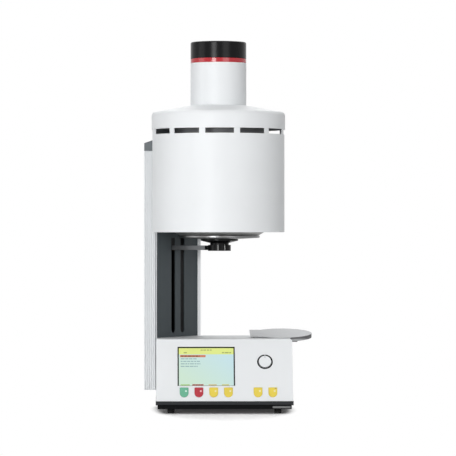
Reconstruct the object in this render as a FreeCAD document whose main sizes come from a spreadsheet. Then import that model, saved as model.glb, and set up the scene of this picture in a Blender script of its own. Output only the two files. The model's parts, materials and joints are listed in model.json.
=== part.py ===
import FreeCAD, Part
import math
import os
import Sketcher

from FreeCAD import Placement, Rotation, Vector

# Dental press furnace: a lift on a slotted column closes a firing chamber from
# below, and a ram in the top tube presses the ceramic ingot.
# X points right, Y to the back and Z up. The origin is on the floor, under the
# middle of the whole furnace.

doc = FreeCAD.newDocument("press_furnace")
sheet = doc.addObject("Spreadsheet::Sheet", "sizes")
sheet_rows = []
nodes = []


class Size:
    """A length or angle that knows its number and its formula over the sheet."""

    def __init__(self, number, text):
        self.number = number
        self.text = text

    def __float__(self):
        return float(self.number)

    def __add__(self, other):
        other = as_size(other)
        return Size(self.number + other.number, f"({self.text} + {other.text})")

    def __sub__(self, other):
        other = as_size(other)
        return Size(self.number - other.number, f"({self.text} - {other.text})")

    def __mul__(self, other):
        other = as_size(other)
        return Size(self.number * other.number, f"({self.text} * {other.text})")

    def __truediv__(self, other):
        other = as_size(other)
        return Size(self.number / other.number, f"({self.text} / {other.text})")

    def __radd__(self, other):
        return as_size(other) + self

    def __rsub__(self, other):
        return as_size(other) - self

    def __rmul__(self, other):
        return as_size(other) * self

    def __neg__(self):
        return as_size(0) - self


def as_size(value):
    """A plain number as a Size, so that both kinds mix in one sum."""
    if isinstance(value, Size):
        return value
    return Size(float(value), f"({float(value)})")


def size(alias, number, note):
    """Write one driving dimension into the sheet and return it."""
    sheet_rows.append(alias)
    row = len(sheet_rows)
    sheet.set(f"A{row}", note)
    sheet.set(f"B{row}", str(number))
    sheet.setAlias(f"B{row}", alias)
    return Size(float(number), f"sizes.{alias}")


def sine(angle):
    return Size(math.sin(math.radians(angle.number)), f"sin({angle.text})")


def cosine(angle):
    return Size(math.cos(math.radians(angle.number)), f"cos({angle.text})")


# Objects, placements and sketches

def bind(obj, name, value):
    """Set a property and, for a Size, tie it to the sheet."""
    value = as_size(value)
    setattr(obj, name, value.number)
    obj.setExpression(name, value.text)


def place(obj, x=0, y=0, z=0, axis=(0, 0, 1), angle=0):
    """Put an object at a point, turned about an axis, all tied to the sheet."""
    spot = [as_size(x), as_size(y), as_size(z)]
    turn = as_size(angle)
    base = Vector(*[value.number for value in spot])
    obj.Placement = Placement(base, Rotation(Vector(*axis), turn.number))
    for key, value in zip("xyz", spot):
        obj.setExpression(f"Placement.Base.{key}", value.text)
    if turn.number:
        obj.setExpression("Placement.Rotation.Angle", turn.text)
    return obj


def node(obj, label):
    """Name a finished sub-part; its label becomes its file name."""
    obj.Label = label
    nodes.append(obj)
    return obj


def body(label, x=0, y=0, z=0, axis=(0, 0, 1), angle=0):
    part = doc.addObject("PartDesign::Body", label)
    place(part, x, y, z, axis, angle)
    return node(part, label)


def new_sketch(part, plane, start=0):
    """A sketch on one of the body's own origin planes, moved along its normal by start."""
    sketch = part.newObject("Sketcher::SketchObject", "outline")
    own_planes = part.Origin.OriginFeatures
    origin_plane = next(item for item in own_planes if item.Role == plane + "_Plane")
    sketch.AttachmentSupport = [(origin_plane, "")]
    sketch.MapMode = "FlatFace"
    offset = as_size(start)
    sketch.AttachmentOffset = Placement(Vector(0, 0, offset.number), Rotation())
    if offset.number:
        sketch.setExpression("AttachmentOffset.Base.z", offset.text)
    return sketch


def add_constraint(sketch, kind, *places, value=None):
    if value is None:
        return sketch.addConstraint(Sketcher.Constraint(kind, *places))
    value = as_size(value)
    index = sketch.addConstraint(Sketcher.Constraint(kind, *places, value.number))
    sketch.setExpression(f"Constraints[{index}]", value.text)
    return index


def pin_point(sketch, item, end, x, y):
    """Hold one point of a sketch at its distances from the sketch's origin."""
    for kind, amount, own_axis in (("DistanceX", x, -2), ("DistanceY", y, -1)):
        if isinstance(amount, Size) or amount != 0:
            add_constraint(sketch, kind, -1, 1, item, end, value=amount)
        else:
            add_constraint(sketch, "PointOnObject", item, end, own_axis)


def polygon(part, plane, points, start=0):
    """A closed outline of straight edges through points bound to the sheet."""
    sketch = new_sketch(part, plane, start)
    corners = [Vector(float(x), float(y), 0) for x, y in points]
    count = len(corners)
    for index in range(count):
        sketch.addGeometry(Part.LineSegment(corners[index], corners[(index + 1) % count]), False)
    for index in range(count):
        add_constraint(sketch, "Coincident", index, 2, (index + 1) % count, 1)
    for index, (x, y) in enumerate(points):
        pin_point(sketch, index, 1, x, y)
    return sketch


def rectangle(part, plane, x_low, x_high, y_low, y_high, start=0):
    points = [(x_low, y_low), (x_high, y_low), (x_high, y_high), (x_low, y_high)]
    return polygon(part, plane, points, start)


def circles(part, plane, spots, start=0):
    """One or more circles, each given as x, y and radius."""
    sketch = new_sketch(part, plane, start)
    for x, y, radius in spots:
        centre = Vector(float(x), float(y), 0)
        item = sketch.addGeometry(Part.Circle(centre, Vector(0, 0, 1), float(radius)), False)
        pin_point(sketch, item, 3, x, y)
        add_constraint(sketch, "Radius", item, value=radius)
    return sketch


def tongue(part, plane, x, y, half_width, rise, start=0):
    """An outline with a flat top and a half-round lower end centred on x, y."""
    sketch = new_sketch(part, plane, start)
    across, up, wide, tall = float(x), float(y), float(half_width), float(rise)
    left, right = across - wide, across + wide
    top = up + tall
    sketch.addGeometry(Part.LineSegment(Vector(left, up, 0), Vector(left, top, 0)), False)
    sketch.addGeometry(Part.LineSegment(Vector(left, top, 0), Vector(right, top, 0)), False)
    sketch.addGeometry(Part.LineSegment(Vector(right, top, 0), Vector(right, up, 0)), False)
    ring = Part.Circle(Vector(across, up, 0), Vector(0, 0, 1), wide)
    sketch.addGeometry(Part.ArcOfCircle(ring, math.pi, 2 * math.pi), False)
    add_constraint(sketch, "Coincident", 0, 2, 1, 1)
    add_constraint(sketch, "Coincident", 1, 2, 2, 1)
    add_constraint(sketch, "Tangent", 0, 1, 3, 1)
    add_constraint(sketch, "Tangent", 2, 2, 3, 2)
    add_constraint(sketch, "Vertical", 0)
    add_constraint(sketch, "Vertical", 2)
    add_constraint(sketch, "Horizontal", 1)
    pin_point(sketch, 3, 3, x, y)
    add_constraint(sketch, "Radius", 3, value=half_width)
    add_constraint(sketch, "DistanceY", -1, 1, 1, 1, value=as_size(y) + rise)
    return sketch


# Features

def pad(part, sketch, length, backwards=False):
    feature = part.newObject("PartDesign::Pad", "pad")
    feature.Profile = sketch
    feature.Reversed = backwards
    bind(feature, "Length", length)
    part.Tip = feature
    return feature


def pocket(part, sketch, length, along_normal=False):
    """Cut a sketch into the body, against its normal unless along_normal is set."""
    feature = part.newObject("PartDesign::Pocket", "pocket")
    feature.Profile = sketch
    feature.Reversed = along_normal
    bind(feature, "Length", length)
    part.Tip = feature
    return feature


def turn(part, points):
    """A solid of revolution about the body's Z axis from radius, height points."""
    feature = part.newObject("PartDesign::Revolution", "turning")
    sketch = polygon(part, "XZ", points)
    feature.Profile = sketch
    feature.ReferenceAxis = (sketch, ["V_Axis"])
    feature.Angle = 360
    part.Tip = feature
    return feature


def ring_of(part, feature, count, angle=360, backwards=False):
    """Repeat a feature around the body's Z axis, over a whole turn or an angle."""
    pattern = part.newObject("PartDesign::PolarPattern", "ring_of_copies")
    pattern.Originals = [feature]
    z_axis = next(item for item in part.Origin.OriginFeatures if item.Role == "Z_Axis")
    pattern.Axis = (z_axis, [""])
    pattern.Reversed = backwards
    bind(pattern, "Angle", angle)
    pattern.Occurrences = count
    part.Tip = pattern
    return pattern


def row_of(part, feature, axis, pitch, count):
    """Repeat a feature along one of the body's own axes."""
    pattern = part.newObject("PartDesign::LinearPattern", "row_of_copies")
    pattern.Originals = [feature]
    own_axis = next(item for item in part.Origin.OriginFeatures if item.Role == axis + "_Axis")
    pattern.Direction = (own_axis, [""])
    bind(pattern, "Length", as_size(pitch) * (count - 1))
    pattern.Occurrences = count
    part.Tip = pattern
    return pattern


def round_edges(part, radius, wanted, kind="Fillet"):
    """Fillet or chamfer the edges of the body's last feature that wanted() picks."""
    doc.recompute()
    base = part.Tip
    names = [f"Edge{index}" for index, edge in enumerate(base.Shape.Edges, 1) if wanted(edge)]
    feature = part.newObject("PartDesign::" + kind, "edge_finish")
    feature.Base = (base, names)
    bind(feature, "Radius" if kind == "Fillet" else "Size", radius)
    part.Tip = feature
    return feature


def circle_edge(radius, height):
    """A test for a level circular edge about the body's Z axis."""
    def wanted(edge):
        curve = edge.Curve
        if not isinstance(curve, Part.Circle):
            return False
        near_radius = abs(curve.Radius - float(radius)) < 0.01
        return near_radius and abs(curve.Center.z - float(height)) < 0.01
    return wanted


def straight_edge(axis, **where):
    """A test for straight edges along an axis whose middle has the given x, y or z."""
    def wanted(edge):
        if not isinstance(edge.Curve, Part.Line):
            return False
        if abs(getattr(edge.Curve.Direction, axis)) < 0.999:
            return False
        middle = edge.valueAt((edge.FirstParameter + edge.LastParameter) / 2)
        return all(abs(abs(getattr(middle, key)) - abs(float(value))) < 0.05 for key, value in where.items())
    return wanted


def upper_end_edge(low):
    """A test for the short straight edges at both ends of a panel, above low."""
    def wanted(edge):
        across = isinstance(edge.Curve, Part.Line) and abs(edge.Curve.Direction.x) < 0.01
        return across and all(vertex.Y > float(low) - 0.01 for vertex in edge.Vertexes)
    return wanted


# Part primitives and booleans

def block(x_low, x_high, y_low, y_high, z_low, z_high, name="block"):
    item = doc.addObject("Part::Box", name)
    bind(item, "Length", as_size(x_high) - x_low)
    bind(item, "Width", as_size(y_high) - y_low)
    bind(item, "Height", as_size(z_high) - z_low)
    return place(item, x_low, y_low, z_low)


def rod(radius, length, x=0, y=0, z=0, axis=(0, 0, 1), angle=0, name="rod"):
    item = doc.addObject("Part::Cylinder", name)
    bind(item, "Radius", radius)
    bind(item, "Height", length)
    return place(item, x, y, z, axis, angle)


def cut(base, *tools, name="cut"):
    for tool in tools:
        result = doc.addObject("Part::Cut", name)
        result.Base = base
        result.Tool = tool
        base = result
    return base


def fuse(*shapes, name="fused"):
    result = doc.addObject("Part::MultiFuse", name)
    result.Shapes = list(shapes)
    result.Refine = True
    return result


def group(*shapes, name="group"):
    result = doc.addObject("Part::Compound", name)
    result.Links = list(shapes)
    return result


# Driving dimensions of the whole furnace

base_mid_x = size("base_mid_x", -10.05, "middle plane of the base, from the origin")
front_y = size("front_y", -156.5, "front edge of the plinth, from the origin")
run_gap = size("run_gap", 0.05, "radial clearance of rods in their bushes")
seat_gap = size("seat_gap", 0.3, "clearance between neighbouring covers")

base_width = size("base_width", 285.4, "width of the white base cover")
base_depth = size("base_depth", 300.0, "depth of the base")
base_top_z = size("base_top_z", 153.3, "top of the base")
cover_wall = size("cover_wall", 2.0, "sheet thickness of the covers")
panel_lean = size("panel_lean", 25.3, "lean of the front panel from upright, in degrees")
panel_wall = size("panel_wall", 2.0, "thickness of the front panel")
corner_round = size("corner_round", 4.0, "rounding of the base's upper side edges")
seam_x = size("seam_x", 20.2, "seam of the base's top, right of its middle")
seam_width = size("seam_width", 1.0, "width of the seam in the base's top")
seam_depth = size("seam_depth", 0.6, "depth of the seam in the base's top")

foot_height = size("foot_height", 10.0, "height of a rubber foot")
foot_radius = size("foot_radius", 7.8, "radius of a rubber foot")
foot_taper = size("foot_taper", 0.8, "how much a foot narrows to the floor")
foot_inset_x = size("foot_inset_x", 31.1, "foot centre, in from the base's side")
foot_inset_y = size("foot_inset_y", 30.0, "foot centre, in from the front and back")

pan_lip = size("pan_lip", 0.8, "how far the plinth band stands out from the base")
pan_inset = size("pan_inset", 3.0, "how far the lower plinth steps in")
pan_step_z = size("pan_step_z", 18.0, "height of the step between the plinth's two bands")
pan_top_z = size("pan_top_z", 26.5, "top of the plinth")
pan_wall = size("pan_wall", 2.5, "wall of the plinth tray")

base_half = base_width / 2
base_left = base_mid_x - base_half
base_right = base_mid_x + base_half
skin_y = front_y + pan_lip
rear_y = front_y + base_depth
skin_depth = base_depth - pan_lip
panel_run = (base_top_z - pan_top_z) * sine(panel_lean) / cosine(panel_lean)
panel_rise = (base_top_z - pan_top_z) / cosine(panel_lean)


def panel_place(part, x, up, out=0):
    """Stand a part on the front panel: x from the base's middle, up the slope, out of it."""
    place(
        part,
        base_mid_x + x,
        skin_y + up * sine(panel_lean) - out * cosine(panel_lean),
        pan_top_z + up * cosine(panel_lean) + out * sine(panel_lean),
        (1, 0, 0),
        90 - panel_lean,
    )
    return part


def panel_body(label, x, up):
    return panel_place(body(label), as_size(x), as_size(up))


# Plinth and feet

def make_plinth():
    pan = body("base_pan", base_mid_x, front_y, foot_height)
    lower_half = base_half - pan_inset
    outer_half = base_half + pan_lip
    lower = rectangle(pan, "XY", -lower_half, lower_half, pan_inset, base_depth - pan_inset)
    pad(pan, lower, pan_step_z - foot_height)
    band = rectangle(pan, "XY", -outer_half, outer_half, 0, base_depth, pan_step_z - foot_height)
    pad(pan, band, pan_top_z - pan_step_z)
    hollow_half = lower_half - pan_wall
    hollow_front = pan_inset + pan_wall
    hollow = rectangle(
        pan, "XY", -hollow_half, hollow_half, hollow_front, base_depth - hollow_front, pan_top_z - foot_height
    )
    pocket(pan, hollow, pan_top_z - foot_height - pan_wall)
    round_edges(pan, pan_inset / 2, straight_edge("z", x=lower_half), "Chamfer")


strip_length = size("strip_length", 37.0, "length of the metal strip on the plinth")
strip_height = size("strip_height", 5.0, "height of the metal strip")
strip_from_right = size("strip_from_right", 5.7, "end of the strip, in from the base's side")
strip_wall = size("strip_wall", 1.0, "thickness of the metal strip")


def make_plinth_strip():
    right = base_half - strip_from_right
    strip = body("plinth_strip", base_mid_x, front_y, foot_height)
    low = (pan_step_z - foot_height - strip_height) / 2
    outline = rectangle(strip, "XZ", right - strip_length, right, low, low + strip_height, -pan_inset)
    pad(strip, outline, strip_wall)
    round_edges(strip, strip_wall / 2, straight_edge("x", y=pan_inset - strip_wall), "Chamfer")


def make_feet():
    feet = []
    for side in (-1, 1):
        for depth in (foot_inset_y, base_depth - foot_inset_y):
            foot = doc.addObject("Part::Cone", "foot")
            bind(foot, "Radius1", foot_radius - foot_taper)
            bind(foot, "Radius2", foot_radius)
            bind(foot, "Height", foot_height)
            feet.append(place(foot, base_mid_x + side * (base_half - foot_inset_x), front_y + depth, 0))
    node(group(*feet), "feet")


# Column: places that the base, the head and the lift share

column_turn = size("column_turn", 30.0, "turn of the column's face from the right, in degrees")
column_reach = size("column_reach", 101.8, "column face to chamber axis")
cover_width = size("cover_width", 170.4, "width of the slotted cover")
slot_pitch = size("slot_pitch", 39.4, "distance between the two lift slots")
hood_low_z = size("hood_low_z", 378.0, "lower edge of the hood")
hood_height = size("hood_height", 219.0, "height of the hood shell")
column_drop = size("column_drop", 44.5, "column's top below the hood shell's top")
slot_width = size("slot_width", 18.0, "width of a lift slot")
slot_under = size("slot_under", 8.2, "lower end of the slots below the lowered fork")
slot_over = size("slot_over", 16.4, "upper end of the slots above the closed fork")
cover_side_gap = size("cover_side_gap", 0.2, "slotted cover's near end, clear of the side sheet")
cover_rear_gap = size("cover_rear_gap", 7.3, "slotted cover's far end to the back of the base")
screw_back = size("screw_back", 23.0, "lift screw and rods, behind the cover's face")
screw_radius = size("screw_radius", 5.0, "radius of the lift screw")

# The slotted cover runs from the base's left side to near its back, and the
# chamber's axis stands in front of the cover's middle.

hood_high_z = hood_low_z + hood_height
column_top_z = hood_high_z - column_drop
cover_half = cover_width / 2
near_x = base_left + cover_wall + cover_side_gap + cover_wall * cosine(column_turn)
far_x = near_x + cover_width * sine(column_turn)
far_y = rear_y - cover_rear_gap
near_y = far_y - cover_width * cosine(column_turn)
column_x = (near_x + far_x) / 2
column_y = (near_y + far_y) / 2
axis_x = column_x + column_reach * cosine(column_turn)
axis_y = column_y - column_reach * sine(column_turn)
screw_x = column_x - screw_back * cosine(column_turn)
screw_y = column_y + screw_back * sine(column_turn)


def column_place(part, z=0):
    """Stand a part on the column's own axes: local X leaves the face towards the chamber."""
    return place(part, column_x, column_y, z, (0, 0, 1), -column_turn)


def column_body(label, z=0):
    return column_place(body(label), z)


# Base covers

def make_base_housing():
    housing = body("base_housing", base_left, skin_y, 0)
    lap = panel_wall / cosine(panel_lean)
    side = [
        (lap, pan_top_z),
        (panel_run + lap, base_top_z),
        (skin_depth, base_top_z),
        (skin_depth, pan_top_z),
    ]
    pad(housing, polygon(housing, "YZ", side), base_width)
    round_edges(housing, corner_round, straight_edge("y", z=base_top_z))
    hollow = rectangle(
        housing, "XZ", cover_wall, base_width - cover_wall, pan_top_z - cover_wall, base_top_z - cover_wall
    )
    pocket(housing, hollow, base_depth)
    bore = circles(housing, "XY", [(screw_x - base_left, screw_y - skin_y, screw_radius + 3)], base_top_z)
    pocket(housing, bore, cover_wall * 2)
    seam_left = base_half + seam_x - seam_width / 2
    seam = rectangle(housing, "XZ", seam_left, seam_left + seam_width, base_top_z - seam_depth, base_top_z + 1)
    pocket(housing, seam, base_depth * 2)


display_width = size("display_width", 120.0, "width of the display window")
display_height = size("display_height", 88.5, "height of the display window along the slope")
display_x = size("display_x", -38.0, "middle of the display, from the base's middle")
display_up = size("display_up", 78.9, "middle of the display, up the slope")
key_pitch = size("key_pitch", 30.8, "distance between two keys")
key_first_x = size("key_first_x", -84.4, "first key, from the base's middle")
key_up = size("key_up", 18.0, "centre of a key's round end, up the slope")
key_half = size("key_half", 8.85, "half the width of a key")
key_rise = size("key_rise", 12.85, "a key's straight flank above its round end")
key_gap = size("key_gap", 0.35, "clearance around a key in the panel")
dial_from_right = size("dial_from_right", 57.7, "dial, in from the base's right side")
dial_up = size("dial_up", 89.0, "dial, up the slope")
dial_ring_radius = size("dial_ring_radius", 16.5, "outer radius of the dial's black ring")
dial_radius = size("dial_radius", 13.7, "radius of the dial")

dial_x = base_half - dial_from_right

KEYS = [
    ("soft_key_1", 0),
    ("soft_key_2", 1),
    ("soft_key_3", 2),
    ("soft_key_4", 3),
    ("side_key_1", 5),
    ("side_key_2", 6),
]


def key_x(place_number):
    return key_first_x + place_number * key_pitch


def make_front_panel():
    panel = panel_body("front_panel", 0, 0)
    shift = panel_wall * sine(panel_lean) / cosine(panel_lean)
    section = [(0, 0), (panel_rise, 0), (panel_rise + shift, -panel_wall), (shift, -panel_wall)]
    pad(panel, polygon(panel, "YZ", section, -base_half), base_width)
    round_edges(panel, corner_round, upper_end_edge(panel_rise))
    window_x = display_width / 2
    window_y = display_height / 2
    window = rectangle(
        panel, "XY", display_x - window_x, display_x + window_x, display_up - window_y, display_up + window_y
    )
    pocket(panel, window, panel_wall * 2)
    pocket(panel, circles(panel, "XY", [(dial_x, dial_up, dial_ring_radius)]), panel_wall * 2)
    for _, number in KEYS:
        hole = tongue(panel, "XY", key_x(number), key_up, key_half + key_gap, key_rise + key_gap)
        pocket(panel, hole, panel_wall * 2)


bezel_side = size("bezel_side", 1.8, "black border beside the screen")
bezel_top = size("bezel_top", 1.0, "black border over the screen")
bezel_low = size("bezel_low", 0.5, "black border under the screen")
bezel_flange = size("bezel_flange", 1.2, "bezel flange behind the panel")
bezel_depth = size("bezel_depth", 3.5, "depth of the bezel to the screen")
bezel_gap = size("bezel_gap", 0.2, "clearance of the bezel in its window")
screen_depth = size("screen_depth", 5.5, "thickness of the display module")
glass_rise = size("glass_rise", 0.5, "how far the glass stands up in the bezel")


def frame_sketch(part, half_x, half_y, start):
    return rectangle(part, "XY", -half_x, half_x, -half_y, half_y, start)


def screen_sketch(part, half_x, half_y, gap, start):
    """The bezel's window around the screen, smaller by a gap."""
    inner_x = half_x - bezel_side - gap
    return rectangle(part, "XY", -inner_x, inner_x, bezel_low + gap - half_y, half_y - bezel_top - gap, start)


def make_display():
    half_x = display_width / 2 - bezel_gap
    half_y = display_height / 2 - bezel_gap
    bezel = panel_body("display_bezel", display_x, display_up)
    pad(bezel, frame_sketch(bezel, half_x, half_y, -bezel_depth), bezel_depth)
    wide_x = half_x + bezel_flange
    wide_y = half_y + bezel_flange
    pad(bezel, frame_sketch(bezel, wide_x, wide_y, -bezel_depth), bezel_depth - panel_wall)
    pocket(bezel, screen_sketch(bezel, half_x, half_y, 0, 0), bezel_depth * 2)

    screen = panel_body("display_module", display_x, display_up)
    pad(screen, frame_sketch(screen, wide_x, wide_y, -bezel_depth), screen_depth, backwards=True)
    pad(screen, screen_sketch(screen, half_x, half_y, bezel_gap, -bezel_depth), glass_rise)


key_height = size("key_height", 1.2, "how far a key stands out of the panel")
key_depth = size("key_depth", 3.6, "depth of a key behind the panel's face")
key_flange = size("key_flange", 0.8, "retaining flange around a key")
key_dome = size("key_dome", 0.9, "rounding of a key's face")
key_corner = size("key_corner", 2.5, "rounding of a key's upper corners")


def make_key(label, number):
    key = panel_body(label, key_x(number), key_up)
    pad(key, tongue(key, "XY", 0, 0, key_half, key_rise, -key_depth), key_depth + key_height)
    round_edges(key, key_corner, straight_edge("z", y=key_rise))
    round_edges(key, key_dome, lambda edge: all(abs(v.Z - float(key_height)) < 0.01 for v in edge.Vertexes))
    flange = tongue(key, "XY", 0, 0, key_half + key_flange, key_rise + key_flange, -key_depth)
    pad(key, flange, key_depth - panel_wall - seat_gap / 2)


board_depth = size("board_depth", 12.0, "board's face behind the panel's face")
board_wall = size("board_wall", 1.6, "thickness of the board")
board_width = size("board_width", 240.0, "width of the board")
board_low = size("board_low", 7.0, "lower edge of the board, up the slope")
board_high = size("board_high", 131.0, "upper edge of the board, up the slope")
switch_half = size("switch_half", 3.0, "half the width of a key switch")
switch_height = size("switch_height", 3.5, "height of a key switch's case")
switch_gap = size("switch_gap", 1.3, "key's underside to the switch plunger")
plunger_radius = size("plunger_radius", 1.7, "radius of a switch plunger")
encoder_half = size("encoder_half", 7.0, "half the width of the dial's encoder")
encoder_height = size("encoder_height", 5.4, "height of the encoder's case")
encoder_bush = size("encoder_bush", 4.5, "radius of the encoder's bush")
shaft_radius = size("shaft_radius", 3.0, "radius of the dial's shaft")
collar_wall = size("collar_wall", 1.0, "floor of the dial's cup")
collar_depth = size("collar_depth", 4.2, "depth of the dial's cup")
collar_flange = size("collar_flange", 2.5, "flange of the dial's cup behind the panel")
dial_gap = size("dial_gap", 0.3, "clearance around the dial")
dial_proud = size("dial_proud", 1.2, "how far the dial stands out")
push_travel = size("push_travel", 0.5, "push travel of the dial")


def make_control_board():
    """The board with its stand-offs, six key switches and the dial's encoder."""
    board_part = block(-board_width / 2, board_width / 2, 0, board_high - board_low, 0, board_wall)
    panel_place(board_part, -board_width / 2, board_low, -(board_depth + board_wall))
    pieces = [board_part]
    post_height = board_depth - panel_wall
    for x in (-board_width / 2 + 4, board_width / 2 - 4):
        for up in (board_low + 4, board_high - 4):
            post = rod(2.5, post_height, name="stand_off")
            pieces.append(panel_place(post, x, up, -board_depth))
    plunger_height = board_depth - switch_height - key_depth - switch_gap
    for _, number in KEYS:
        case = block(0, switch_half * 2, 0, switch_half * 2, 0, switch_height, name="switch_case")
        panel_place(case, key_x(number) - switch_half, key_up - switch_half, -board_depth)
        plunger = rod(plunger_radius, plunger_height, name="switch_plunger")
        panel_place(plunger, key_x(number), key_up, -(board_depth - switch_height))
        pieces.append(fuse(case, plunger, name="key_switch"))
    case = block(0, encoder_half * 2, 0, encoder_half * 2, 0, encoder_height, name="encoder_case")
    panel_place(case, dial_x - encoder_half, dial_up - encoder_half, -board_depth)
    bush_length = board_depth - encoder_height - collar_depth + collar_wall
    bush = rod(encoder_bush, bush_length, name="encoder_bush")
    panel_place(bush, dial_x, dial_up, -(board_depth - encoder_height))
    bore = rod(shaft_radius + run_gap, board_depth, name="encoder_bore")
    panel_place(bore, dial_x, dial_up, -board_depth)
    pieces.append(cut(fuse(case, bush), bore, name="encoder"))
    node(group(*pieces), "control_board")


def make_dial():
    cup = panel_body("dial_collar", dial_x, dial_up)
    pad(cup, circles(cup, "XY", [(0, 0, dial_ring_radius - bezel_gap)], -collar_depth), collar_depth - bezel_gap)
    flange = circles(cup, "XY", [(0, 0, dial_ring_radius + collar_flange)], -collar_depth)
    pad(cup, flange, collar_depth - panel_wall)
    pocket(cup, circles(cup, "XY", [(0, 0, dial_radius + dial_gap)]), collar_depth - collar_wall)
    pocket(cup, circles(cup, "XY", [(0, 0, encoder_bush + run_gap)]), collar_depth * 2)

    knob = panel_body("dial_knob", dial_x, dial_up)
    shaft_low = -(board_depth - push_travel - 1.6)
    face_low = -(collar_depth - collar_wall - push_travel - dial_gap)
    outline = [
        (0, shaft_low),
        (shaft_radius, shaft_low),
        (shaft_radius, face_low),
        (dial_radius, face_low),
        (dial_radius, dial_proud),
        (0, dial_proud),
    ]
    turn(knob, outline)
    round_edges(knob, dial_proud / 2, circle_edge(dial_radius, dial_proud))

    plunger = panel_body("dial_plunger", dial_x, dial_up)
    top = shaft_low - run_gap
    low = -(board_depth - push_travel - 0.3)
    turn(plunger, [(0, low), (shaft_radius - 0.2, low), (shaft_radius - 0.2, top), (0, top)])


# Inside and back of the base

inlet_x = size("inlet_x", 60.0, "power inlet, right of the base's middle")
inlet_z = size("inlet_z", 62.0, "height of the power inlet's middle")
inlet_width = size("inlet_width", 58.0, "width of the inlet module")
inlet_height = size("inlet_height", 29.0, "height of the inlet module")
inlet_depth = size("inlet_depth", 27.0, "depth of the inlet module in the base")
inlet_flange = size("inlet_flange", 2.5, "flange of the inlet module")
inlet_face = size("inlet_face", 2.0, "thickness of the inlet's flange")
socket_width = size("socket_width", 26.0, "width of the inlet's socket")
socket_height = size("socket_height", 17.5, "height of the inlet's socket")
socket_depth = size("socket_depth", 23.0, "depth of the inlet's socket")
pin_length = size("pin_length", 14.0, "length of a contact pin")
rocker_width = size("rocker_width", 12.0, "width of the rocker")
rocker_half = size("rocker_half", 9.0, "half the height of the rocker")
rocker_gap = size("rocker_gap", 0.3, "clearance beside the rocker")
rocker_tilt = size("rocker_tilt", 10.0, "tilt of the rocker when off, in degrees")
pivot_radius = size("pivot_radius", 1.2, "radius of the rocker's pin")
nipple_x = size("nipple_x", -20.0, "vacuum nipple, from the base's middle")
nipple_z = size("nipple_z", 62.0, "height of the vacuum nipple")
nipple_radius = size("nipple_radius", 4.0, "radius of the vacuum nipple")
nipple_length = size("nipple_length", 12.5, "length of the nipple behind the base")
nipple_bore = size("nipple_bore", 2.5, "radius of the nipple's bore")

supply_x = size("supply_x", 20.0, "left side of the power supply, from the base's middle")
supply_width = size("supply_width", 98.0, "width of the power supply")
supply_front = size("supply_front", 95.0, "front of the power supply, behind the front edge")
supply_rear_gap = size("supply_rear_gap", 26.0, "power supply to the inlet module")
supply_height = size("supply_height", 42.0, "height of the power supply")
motor_half = size("motor_half", 17.5, "half the width of the lift motor")
motor_height = size("motor_height", 48.0, "height of the lift motor")
motor_drop = size("motor_drop", 16.0, "lift motor below the base's top sheet")
motor_post = size("motor_post", 3.0, "radius of the lift motor's stand-offs")


def make_power_supply():
    floor_z = foot_height + pan_wall
    supply = body("power_supply", base_mid_x + supply_x, front_y + supply_front, floor_z)
    length = base_depth - supply_front - inlet_depth - supply_rear_gap
    pad(supply, rectangle(supply, "XY", 0, supply_width, 0, length), supply_height)
    slot = rectangle(supply, "XY", 10, supply_width - 10, length / 20, length / 12, supply_height)
    first = pocket(supply, slot, 3)
    row_of(supply, first, "Y", length / 10.7, 10)


def make_lift_motor():
    motor_top = base_top_z - cover_wall - motor_drop
    motor = column_body("lift_motor", motor_top - motor_height)
    low_x = -screw_back - motor_half
    high_x = motor_half - screw_back
    pad(motor, rectangle(motor, "XY", low_x, high_x, -motor_half, motor_half), motor_height)
    round_edges(motor, 4, straight_edge("z"), "Chamfer")
    spots = []
    for x in (low_x + 6, high_x - 6):
        for y in (-motor_half + 6, motor_half - 6):
            spots.append((x, y, motor_post))
    pad(motor, circles(motor, "XY", spots, motor_height), motor_drop)
    bore = circles(motor, "XY", [(-screw_back, 0, screw_radius + seat_gap)], motor_height)
    pocket(motor, bore, motor_height)


socket_x = inlet_x - inlet_width / 2 + 5 + socket_width / 2
rocker_x = inlet_x + inlet_width / 2 - 5 - rocker_width / 2
aperture_half_x = rocker_width / 2 + rocker_gap
aperture_half_z = rocker_half + rocker_gap * 2


def make_rear_panel():
    half = base_half - cover_wall - seat_gap / 2
    top = base_top_z - cover_wall - seat_gap / 2
    panel = body("rear_panel", base_mid_x, rear_y, 0)
    pad(panel, rectangle(panel, "XZ", -half, half, pan_top_z, top), cover_wall)
    gap = seat_gap / 2
    hole = rectangle(
        panel,
        "XZ",
        inlet_x - inlet_width / 2 - gap,
        inlet_x + inlet_width / 2 + gap,
        inlet_z - inlet_height / 2 - gap,
        inlet_z + inlet_height / 2 + gap,
        cover_wall,
    )
    pocket(panel, hole, cover_wall * 2)
    bore = circles(panel, "XZ", [(nipple_x, nipple_z, nipple_radius + run_gap)], cover_wall)
    pocket(panel, bore, cover_wall * 2)
    start = -half + base_width / 10
    slot = rectangle(panel, "XZ", start, start + 4, pan_top_z + 12, inlet_z, cover_wall)
    first = pocket(panel, slot, cover_wall * 2)
    row_of(panel, first, "X", base_width / 32, 7)


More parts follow.
